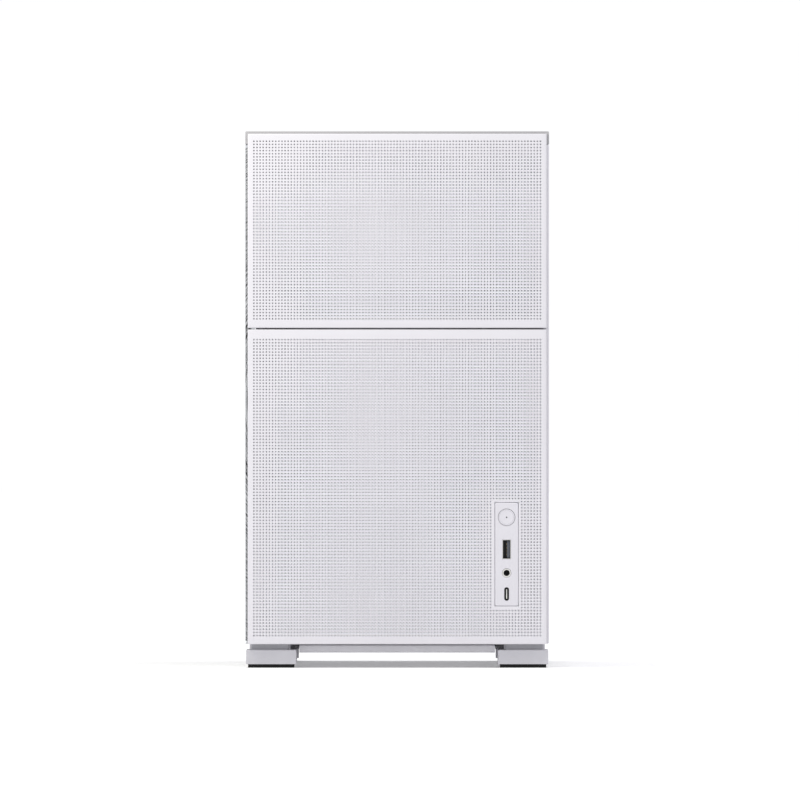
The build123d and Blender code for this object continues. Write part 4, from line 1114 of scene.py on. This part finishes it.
# %% Tabs of the cover
TAB_T, TAB_HALF, TAB_EASE = 1.0, 8, 0.2
COVER_STUD_YS, COVER_STUD_X = (-96, 196), 74
COVER_TAB_X = (67, 101.6)
FORK_X, FORK_SLOT = 70, 2.2
FORK_Y = (212.4, 213.4)
FORK_TIP_Z, FORK_ROOT_Z, FORK_TOP_Z = 340.5, 347.7, 356.5
bm = bmesh.new()
for side in (-1, 1):
    for y in COVER_STUD_YS:
        low, high = sorted((side * COVER_TAB_X[0], side * COVER_TAB_X[1]))
        tab_low = (low, y - TAB_HALF, COVER_RIM_Z)
        tab_high = (high, y + TAB_HALF, COVER_RIM_Z + TAB_T)
        add_box_mm(bm, tab_low, tab_high, TAB_EASE)
        add_stud(bm, (side * COVER_STUD_X, y, COVER_RIM_Z), (0, 0, -1))
    x = side * FORK_X
    for low_x, high_x, low_z in (
        (x - TAB_HALF, x - FORK_SLOT, FORK_TIP_Z),
        (x + FORK_SLOT, x + TAB_HALF, FORK_TIP_Z),
        (x - FORK_SLOT, x + FORK_SLOT, FORK_ROOT_Z),
    ):
        add_box_mm(bm, (low_x, FORK_Y[0], low_z), (high_x, FORK_Y[1], FORK_TOP_Z))
piece("top_cover_tabs", mesh_from(bm, "top_cover_tabs"), "top_lid", [COAT, ZINC])
print("cover tabs", 2 * len(COVER_STUD_YS) + 2)

# %% [markdown]
# ## Tabs of the right side
# The right side has a stud near each corner. Its tabs reach from the stud to the near edge of the
# rim, where they would be welded, so the lower two hang down and the upper two stand up.

# %% Tabs of the right side
LOW_STUD_Z, HIGH_STUD_Z = 24.5, 343.5
SIDE_STUD_YS = (-188, 196)
LOW_EDGE_Z, HIGH_EDGE_Z = 17.3, 351.7
PAST_STUD = 7
bm = bmesh.new()
for z, low_z, high_z in (
    (LOW_STUD_Z, LOW_EDGE_Z, LOW_STUD_Z + PAST_STUD),
    (HIGH_STUD_Z, HIGH_STUD_Z - PAST_STUD, HIGH_EDGE_Z),
):
    for y in SIDE_STUD_YS:
        tab_low = (SIDE_RIM_X, y - TAB_HALF, low_z)
        tab_high = (SIDE_RIM_X + TAB_T, y + TAB_HALF, high_z)
        add_box_mm(bm, tab_low, tab_high, TAB_EASE)
        add_stud(bm, (SIDE_RIM_X, y, z), (-1, 0, 0))
piece("right_side_tabs", mesh_from(bm, "right_side_tabs"), "right_side", [COAT, ZINC])
print("side tabs", 2 * len(SIDE_STUD_YS))

# %% [markdown]
# ## Fans
# A fan blade is a twisted, swept plate: steep at the hub, where it moves slowly, and flatter at the
# tip. The CAD keeps flat paddles, which are enough to spin. Here each blade is a small grid of points
# set by radius and chord, thickened afterwards, which is quicker and cleaner than bending a flat box.

# %% Fans
ACROSS_Y, ACROSS_Z = 1, 2
BLADE_ROWS, BLADE_COLUMNS = 8, 8
BLADE_T, TIP_GAP = 1.2, 0.996
BLADE_SHARE, BLADE_BEND, BLADE_SWEEP = 0.80, 0.10, 0.42
BLADE_PITCH, TIP_FLATTENING, BLADE_ROOT = 1.62, 0.14, 0.97
HUB_ROUND, HUB_DISH, AXLE = 1.6, 0.4, 1.0


def hub_profile(length, radius):
    """A drum on an axle, with rounded rims and a shallow dish in its far end, in metres."""
    off, dish = HUB_ROUND * MM, length - HUB_DISH * MM
    return [
        (0, AXLE * MM),
        (0, radius - off),
        (off * 0.3, radius - off * 0.3),
        (off, radius),
        (length - off, radius),
        (length - off * 0.3, radius - off * 0.3),
        (length, radius - off),
        (length, radius * 0.72),
        (dish, radius * 0.70),
        (dish, AXLE * MM),
    ]


def add_blade(bm, put, start_angle, spread, hub_radius, tip, half):
    """One swept blade. put(radius, angle, along) gives a point."""
    root = hub_radius * BLADE_ROOT
    grid = []
    for i in range(BLADE_ROWS + 1):
        out = i / BLADE_ROWS
        radius = root + (tip - root) * out
        line = []
        for j in range(BLADE_COLUMNS + 1):
            chord = j / BLADE_COLUMNS - 0.5
            bend = BLADE_BEND * spread * (1 - 4 * chord * chord)
            angle = start_angle + spread * chord + bend + BLADE_SWEEP * out * out
            along = chord * BLADE_PITCH * half * (1 - TIP_FLATTENING * out * out)
            line.append(bm.verts.new(put(radius, angle, along)))
        grid.append(line)
    faces = []
    for line, after in zip(grid, grid[1:]):
        for j in range(BLADE_COLUMNS):
            faces.append(bm.faces.new((line[j], after[j], after[j + 1], line[j + 1])))
    bmesh.ops.solidify(bm, geom=faces, thickness=BLADE_T * MM)


def curved_rotor(node, axis, hub_mm, blades):
    """A hub with swept blades that fills the box of a CAD rotor."""
    low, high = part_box(node)
    tip = max(high[index] - low[index] for index in (0, 3 - axis)) / 2 * TIP_GAP
    middle = (low + high) / 2
    half = (high[axis] - low[axis]) / 2
    turn = Matrix.Identity(3) if axis == ACROSS_Z else Matrix.Rotation(math.radians(90), 3, "X")

    def put(radius, angle, along):
        return middle + turn @ Vector((radius * math.cos(angle), radius * math.sin(angle), along))

    bm = bmesh.new()
    for blade in range(blades):
        start_angle = math.tau * blade / blades
        spread = math.tau / blades * BLADE_SHARE
        add_blade(bm, put, start_angle, spread, hub_mm * MM, tip, half)
    axis_vector = turn @ Vector((0, 0, 1))
    profile = hub_profile(2 * half, hub_mm * MM)
    add_lathe(bm, middle - axis_vector * half, axis_vector, profile, sides=56)
    name = node + "_swept"
    piece(name, mesh_from(bm, name, 40), body_of[node], FAN_PLASTIC, [node])


ROTORS = {
    "rear_fan_rotor": (ACROSS_Y, 20, 9),
    "cooler_fan_rotor": (ACROSS_Y, 20, 9),
    "top_fan_1_rotor": (ACROSS_Z, 20, 9),
    "top_fan_2_rotor": (ACROSS_Z, 20, 9),
    "power_supply_fan": (ACROSS_Y, 18, 11),
    "card_fan_1": (ACROSS_Z, 14, 11),
    "card_fan_2": (ACROSS_Z, 14, 11),
}
for node, (axis, hub_mm, blades) in ROTORS.items():
    curved_rotor(node, axis, hub_mm, blades)
print("rotors", len(ROTORS))

# %% [markdown]
# ## A guard on the rear fan
# The rear fan blows out through a round opening in the wall. Bent wire rings, welded to four spokes,
# keep fingers out of it. Rings drawn as thin tori are both lighter and crisper than a punched plate.

# %% Rear guard
WIRE_SIDES = 8
RING_RADII, RING_WIRE = (14, 23, 32, 41, 50, 58.5), 0.75
SPOKE_REACH, SPOKE_WIRE = 71, 0.8
EYE_REACH, EYE_RADIUS = 74.25, 3.4
SCREW_REACH, SCREW_HEAD_RADIUS, SCREW_HEAD_T = 52.5, 3.6, 2.0
RING_Y, SPOKE_Y, EYE_Y, SCREW_Y = 213.2, 214.4, 212.9, 213.3


def add_ring(bm, centre, radius, wire, sides=72):
    """A wire ring that faces the back, about a centre in mm."""
    turn = Matrix.Rotation(math.radians(90), 3, "X")
    rings = []
    for step in range(sides):
        angle = math.tau * step / sides
        ring = []
        for part in range(WIRE_SIDES):
            round_angle = math.tau * part / WIRE_SIDES
            reach = radius + wire * math.cos(round_angle)
            aside = wire * math.sin(round_angle)
            local = Vector((reach * math.cos(angle), reach * math.sin(angle), aside))
            ring.append(bm.verts.new((Vector(centre) + turn @ local) * MM))
        rings.append(ring)
    for ring, after in zip(rings, rings[1:] + rings[:1]):
        for part in range(WIRE_SIDES):
            other = (part + 1) % WIRE_SIDES
            bm.faces.new((ring[part], after[part], after[other], ring[other]))


fan_low, fan_high = box_mm("rear_fan_rotor")
rear_x, rear_z = (fan_low[0] + fan_high[0]) / 2, (fan_low[2] + fan_high[2]) / 2
bm = bmesh.new()
for radius in RING_RADII:
    add_ring(bm, (rear_x, RING_Y, rear_z), radius, RING_WIRE)
for step in range(4):
    angle = math.radians(45 + 90 * step)
    right, up = math.cos(angle), math.sin(angle)
    inner = Vector((rear_x + RING_RADII[0] * right, SPOKE_Y, rear_z + RING_RADII[0] * up)) * MM
    outer = Vector((rear_x + SPOKE_REACH * right, SPOKE_Y, rear_z + SPOKE_REACH * up)) * MM
    add_rod(bm, inner, outer, SPOKE_WIRE * MM, 10)
    eye = (rear_x + EYE_REACH * right, EYE_Y, rear_z + EYE_REACH * up)
    add_ring(bm, eye, EYE_RADIUS, SPOKE_WIRE, sides=24)
    head_x = rear_x + SCREW_REACH * math.copysign(1, right)
    head_z = rear_z + SCREW_REACH * math.copysign(1, up)
    head = Vector((head_x, SCREW_Y, head_z))
    head_end = head + Vector((0, SCREW_HEAD_T, 0))
    add_rod(bm, head * MM, head_end * MM, SCREW_HEAD_RADIUS * MM, 20, 0.5 * MM)
piece("rear_fan_wire_guard", mesh_from(bm, "rear_fan_wire_guard"), "chassis", ZINC)
print("guard rings", len(RING_RADII))

# %% [markdown]
# ## Separate solids of a CAD part
# One CAD part may hold many solids, such as all the screws. To set something on each of them, their
# boxes are needed one by one. Corners that share a face belong to the same solid, so they are gathered
# into groups, and each group gives one box.

# %% Separate solids


def solids_of(node):
    """The box of each separate solid in a CAD part, in mm."""
    mesh = nodes[node].data
    keys, parent = {}, {}

    def root(key):
        while parent[key] != key:
            parent[key] = parent[parent[key]]
            key = parent[key]
        return key

    for vertex in mesh.vertices:
        key = tuple(round(value / MM, 2) for value in vertex.co)
        keys[vertex.index] = key
        parent.setdefault(key, key)
    for polygon in mesh.polygons:
        first = keys[polygon.vertices[0]]
        for other in polygon.vertices[1:]:
            parent[root(keys[other])] = root(first)
    groups = {}
    for key in parent:
        groups.setdefault(root(key), []).append(key)
    return [([min(a) for a in zip(*group)], [max(a) for a in zip(*group)]) for group in groups.values()]


print("screws and standoffs", len(solids_of("chassis_screws")), len(solids_of("mainboard_standoffs")))

# %% [markdown]
# ## Free places on the mainboard
# A mainboard is crowded, and no part may stand in another. Every place that is taken is kept as a
# rectangle, from the large CAD blocks and the screw holes on, and a new part is mounted only where
# its own rectangle is free.

# %% Free places
board_low, board_high = box_mm("mainboard")
FACE_X = board_low[0]
NEAR_FACE, EDGE_MARGIN = 6, 2
HOLE_YS, HOLE_ZS, HOLE_HALF = (-17, 85, 203), (72, 158, 301), 4
BLOCKS = (
    "mainboard_sockets",
    "mainboard_heat_sinks",
    "memory_modules",
    "rear_connectors",
    "cooler_base",
)
taken = []
for node in BLOCKS:
    for low, high in solids_of(node):
        if high[0] > FACE_X - NEAR_FACE:
            taken.append((low[1], high[1], low[2], high[2]))
for y in HOLE_YS:
    for z in HOLE_ZS:
        taken.append((y - HOLE_HALF, y + HOLE_HALF, z - HOLE_HALF, z + HOLE_HALF))
taken_before = len(taken)
parts_bm = bmesh.new()


def is_free(y0, y1, z0, z1, gap=0.8):
    """Whether a rectangle of the board is clear of every part and of the board's edge."""
    for a0, a1, b0, b1 in taken:
        if y0 < a1 + gap and y1 > a0 - gap and z0 < b1 + gap and z1 > b0 - gap:
            return False
    inside_y = board_low[1] + EDGE_MARGIN < y0 and y1 < board_high[1] - EDGE_MARGIN
    inside_z = board_low[2] + EDGE_MARGIN < z0 and z1 < board_high[2] - EDGE_MARGIN
    return inside_y and inside_z


def mount_box(y, z, width, height, tall, slot, ease=0.2):
    """A component on the board, if its place is free."""
    y0, y1, z0, z1 = y - width / 2, y + width / 2, z - height / 2, z + height / 2
    if is_free(y0, y1, z0, z1):
        add_box_mm(parts_bm, (FACE_X - tall, y0, z0), (FACE_X, y1, z1), ease, slot)
        taken.append((y0, y1, z0, z1))


def mount_can(y, z, radius, tall, slot):
    """An upright capacitor or battery on the board, if its place is free."""
    y0, y1, z0, z1 = y - radius, y + radius, z - radius, z + radius
    if is_free(y0, y1, z0, z1, 0.3):
        base, top = Vector((FACE_X, y, z)), Vector((FACE_X - tall, y, z))
        add_rod(parts_bm, base * MM, top * MM, radius * MM, 24, 0.3 * MM, slot)
        taken.append((y0, y1, z0, z1))


print("places taken", taken_before)

# %% [markdown]
# ## The mainboard's small parts
# Seen through the glass, a mainboard reads as a dark field with many small bright things on it. Rows of
# coils and capacitors stand where they do on a real board. The chips between them are scattered by a
# seeded dice, so that they are the same every time.

# %% Small parts
DARK, BRIGHT, GREY, YELLOW, CHIP = range(5)
CHIP_SIZES = ((1.0, 0.5), (1.6, 0.8), (2.0, 1.2), (0.5, 1.0), (0.8, 1.6), (3.2, 1.6))
for number in range(9):
    mount_can(163.2, 184 + 11 * number, 2.2, 8, BRIGHT)
for number in range(7):
    mount_box(98 + 9 * number, 275, 7.4, 7.4, 5.5, DARK, 0.8)
mount_box(96, 149, 80, 14, 3.6, GREY, 0.6)
mount_can(12, 133, 10, 3.4, BRIGHT)
for number in range(5):
    mount_can(196, 76 + 7 * number, 2.6, 7, YELLOW)
for number in range(2):
    mount_box(-26, 122 + 20 * number, 10, 16, 9, DARK)
mount_box(-25, 176, 10, 26, 8.5, DARK)
for number in range(6):
    mount_box(-10 + 21 * number, 68.6, 16, 4.4, 7, DARK)
dice = random.Random(11)
for attempt in range(60):
    width = dice.choice((4.0, 5.0, 7.0))
    y, z = dice.uniform(-30, 200), dice.uniform(70, 300)
    mount_box(y, z, width, width, 1.0, DARK, 0.1)
for attempt in range(900):
    width, height = dice.choice(CHIP_SIZES)
    y, z = dice.uniform(-32, 204), dice.uniform(68, 303)
    mount_box(y, z, width, height, 0.6, dice.choice((DARK, BRIGHT, CHIP)), 0)
piece(
    "mainboard_small_parts",
    mesh_from(parts_bm, "mainboard_small_parts"),
    body_of["mainboard"],
    [BLACK_PLASTIC, ALUMINIUM, DARK_ALUMINIUM, BRASS, CERAMIC],
)
print("mainboard parts", len(taken) - taken_before)

# %% [markdown]
# ## Plugs on the leads
# A lead ends in a plug. The broad one on the mainboard gathers twenty-four wires, which bend out of it
# and run together into the lead. Each wire is two straight bars, as the bend is hidden by its
# neighbours. The other two plugs are plain blocks with eased edges.

# %% Plugs on the leads
PLUG_EASE, WIRE_RADIUS = 0.6, 1.15
GATHER_Y, GATHER_Z = -28, 226
bm = bmesh.new()
add_box_mm(bm, (53.4, -32.6, 201.5), (62.4, -23.4, 250.5), PLUG_EASE)
for number in range(12):
    z = 204 + 4 * number
    for y in (-30.3, -25.7):
        start = Vector((53.6, y, z))
        bend = Vector((47.5, y, z + (GATHER_Z - z) * 0.12))
        gather = Vector((39.5, GATHER_Y + (y - GATHER_Y) * 0.6, z + (GATHER_Z - z) * 0.72))
        add_rod(bm, start * MM, bend * MM, WIRE_RADIUS * MM, 8, slot=1)
        add_rod(bm, bend * MM, gather * MM, WIRE_RADIUS * MM, 8, slot=1)
add_box_mm(bm, (30.5, -116, 243.5), (45.5, -105, 256.5), PLUG_EASE)
add_box_mm(bm, (-57.5, -170, 196), (-42.5, -150, 206), PLUG_EASE)
piece("lead_plugs", mesh_from(bm, "lead_plugs"), "chassis", [BLACK_PLASTIC, CABLE])
print("plugs", 3)

# %% [markdown]
# ## Contacts and pins
# The memory modules stand in their sockets on a row of gold contacts, and the mains inlet has three
# brass pins. Each is a small box, placed from the box of its own CAD solid, so it can't drift.

# %% Contacts and pins
CONTACTS, END_GAP = 60, 4
CONTACT_X, CONTACT_HALF_Y, CONTACT_HALF_Z = (2.2, 0.6), 0.75, 0.45
PIN_MAX_WIDTH, PIN_SKIN = 4, 0.06
bm = bmesh.new()
for low, high in solids_of("memory_modules"):
    for number in range(CONTACTS):
        along = (high[2] - low[2] - 2 * END_GAP) * number / (CONTACTS - 1)
        z = low[2] + END_GAP + along
        y = (low[1] + high[1]) / 2
        contact_low = (high[0] - CONTACT_X[0], y - CONTACT_HALF_Y, z - CONTACT_HALF_Z)
        contact_high = (high[0] + CONTACT_X[1], y + CONTACT_HALF_Y, z + CONTACT_HALF_Z)
        add_box_mm(bm, contact_low, contact_high)
piece("memory_contacts", mesh_from(bm, "memory_contacts"), body_of["memory_modules"], GOLD)

bm = bmesh.new()
pin_count = 0
for low, high in solids_of("mains_inlet"):
    if high[0] - low[0] < PIN_MAX_WIDTH:
        pin_low = Vector(low) - Vector((PIN_SKIN, -0.1, PIN_SKIN))
        pin_high = Vector(high) + Vector((PIN_SKIN, 0.3, PIN_SKIN))
        add_box_mm(bm, pin_low, pin_high, 0.3)
        pin_count += 1
piece("inlet_pins", mesh_from(bm, "inlet_pins"), body_of["mains_inlet"], BRASS)
print("pins", pin_count)

# %% [markdown]
# ## Screw crosses
# A cross in the head is what makes a small disc read as a screw. The recess is not cut: each cross is
# two thin dark bars let into the head, which paint the shade in the recess. The axis of a screw is the
# shortest side of its box, except at the back, where every screw points out.

# %% Screw crosses
BACK_Y = 205
CROSS_REACH, CROSS_HALF = 1.5, 0.35
CROSS_PROUD, CROSS_DEPTH = 0.02, 0.4
bm = bmesh.new()
for low, high in solids_of("chassis_screws"):
    size = [b - a for a, b in zip(low, high)]
    axis = 1 if low[1] > BACK_Y else size.index(min(size))
    out = 1 if axis == 1 else -1
    head = high[axis] if out > 0 else low[axis]
    middle = (Vector(low) + Vector(high)) / 2
    for other in (index for index in range(3) if index != axis):
        cross_low, cross_high = Vector(middle), Vector(middle)
        third = 3 - axis - other
        cross_low[other] -= CROSS_REACH
        cross_high[other] += CROSS_REACH
        cross_low[third] -= CROSS_HALF
        cross_high[third] += CROSS_HALF
        ends = sorted((head + out * CROSS_PROUD, head - out * CROSS_DEPTH))
        cross_low[axis], cross_high[axis] = ends
        add_box_mm(bm, cross_low, cross_high)
# Painted shade: the dark bars stand for the shade inside each cross recess.
piece("screw_cross_shade", mesh_from(bm, "screw_cross_shade"), "chassis", DARK_NICKEL_AND_RECESS_SHADE)
print("screws", len(solids_of("chassis_screws")))

# %% [markdown]
# ## The glass and its border
# The left side is a pane of tempered glass. A band of white enamel is fired on its inner face, and it
# hides the steel strips and the chassis edges behind it. It is drawn as a very thin frame on the glass.

# %% Glass border
glass_low, glass_high = box_mm("glass_panel")
BAND, BAND_GAP = 15.0, 0.6
inner_x = glass_high[0]
bm = bmesh.new()
y0, y1 = glass_low[1] + BAND_GAP, glass_high[1] - BAND_GAP
z0, z1 = glass_low[2] + BAND_GAP, glass_high[2] - BAND_GAP
for low_y, high_y, low_z, high_z in (
    (y0, y1, z0, z0 + BAND),
    (y0, y1, z1 - BAND, z1),
    (y0, y0 + BAND, z0 + BAND, z1 - BAND),
    (y1 - BAND, y1, z0 + BAND, z1 - BAND),
):
    add_box_mm(bm, (inner_x - 0.06, low_y, low_z), (inner_x - 0.01, high_y, high_z))
piece("glass_border", mesh_from(bm, "glass_border"), "glass_side", ENAMEL)

bm = bmesh.new()
EDGE_SKIN, CORNER_GAP, CHAMFER = 0.05, 2, 0.15
edge_x0, edge_x1 = glass_low[0] + CHAMFER, glass_high[0] - CHAMFER
y0, y1, z0, z1 = glass_low[1], glass_high[1], glass_low[2], glass_high[2]
for low_y, high_y, low_z, high_z in (
    (y0, y0 + EDGE_SKIN, z0 + CORNER_GAP, z1 - CORNER_GAP),
    (y1 - EDGE_SKIN, y1, z0 + CORNER_GAP, z1 - CORNER_GAP),
    (y0 + CORNER_GAP, y1 - CORNER_GAP, z0, z0 + EDGE_SKIN),
    (y0 + CORNER_GAP, y1 - CORNER_GAP, z1 - EDGE_SKIN, z1),
):
    add_box_mm(bm, (edge_x0, low_y, low_z), (edge_x1, high_y, high_z))
piece("ground_glass_edge", mesh_from(bm, "ground_glass_edge"), "glass_side", GROUND_EDGE)
print("band", BAND, "mm")

# %% [markdown]
# ## Finishes for the CAD parts
# Every part that keeps its CAD shape only needs its finish. A table from part to finish is easier to
# read and to change than forty separate lines, and a part that is missing from it stops the lesson.

# %% Finishes for CAD parts
FINISH_OF = {
    "card_back_plate": DARK_ALUMINIUM,
    "card_circuit_board": BOARD,
    "card_heat_sink": ALUMINIUM,
    "card_shroud": BLACK_PLASTIC,
    "chassis_screws": ZINC,
    "cooler_base": NICKEL,
    "cooler_fan_frame": FAN_PLASTIC,
    "cooler_fins": ALUMINIUM,
    "drive_bracket": ZINC,
    "feet": FOOT_PAINT,
    "filter_tray": TRAY_PLASTIC,
    "filter_tray_net": NET,
    "floor_pan": INNER_COAT,
    "foot_pads": RUBBER,
    "foot_spacers": SPACER_PLASTIC,
    "front_filter_lower": NET,
    "front_filter_upper": NET,
    "front_frame": INNER_COAT,
    "front_port_board": BOARD,
    "glass_panel": GLASS,
    "glass_panel_strips": BLACK_COAT,
    "internal_leads": CABLE,
    "mainboard": BOARD,
    "mainboard_heat_sinks": DARK_ALUMINIUM,
    "mainboard_sockets": BLACK_PLASTIC,
    "mainboard_standoffs": BRASS,
    "mainboard_tray": INNER_COAT,
    "mains_inlet": BLACK_PLASTIC,
    "memory_modules": DARK_ALUMINIUM,
    "port_bezel": WHITE_PLASTIC,
    "port_shield": ZINC,
    "power_supply_bracket": INNER_COAT,
    "power_supply_case": BLACK_COAT,
    "power_supply_guard": ZINC,
    "rear_connectors": ZINC,
    "rear_fan_frame": FAN_PLASTIC,
    "rear_wall": INNER_COAT,
    "slot_brackets": INNER_COAT,
    "solid_state_drive": DARK_ALUMINIUM,
    "stud_sockets": GREY_PLASTIC,
    "thumb_screws": NICKEL,
    "top_fan_frames": FAN_PLASTIC,
    "top_filter": NET,
    "top_frame": INNER_COAT,
    "tray_rails": GREY_PLASTIC,
}
PANELS = {"front_panel_upper", "front_panel_lower", "top_cover", "right_panel"}
CONNECTORS = {"power_button", "usb_a_port", "usb_c_port", "audio_jack"}
REPLACED = PANELS | CONNECTORS | set(ROTORS)
for name, node in nodes.items():
    if name not in REPLACED:
        node.data.materials.clear()
        node.data.materials.append(FINISH_OF[name])
print("CAD parts shown", len(FINISH_OF), "replaced", len(REPLACED))

# %% [markdown]
# ## Sizes, and the last line
# The box of the dressed tower is gathered beside the frame's box, and printed. Dressing
# must not make the tower bigger.

# %% Sizes and finish
low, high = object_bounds()
sizes = {
    "cad": [list(map(float, cad_low)), list(map(float, cad_high))],
    "visual": [list(map(float, low)), list(map(float, high))],
}
print("box", [round(v, 4) for v in low], [round(v, 4) for v in high])
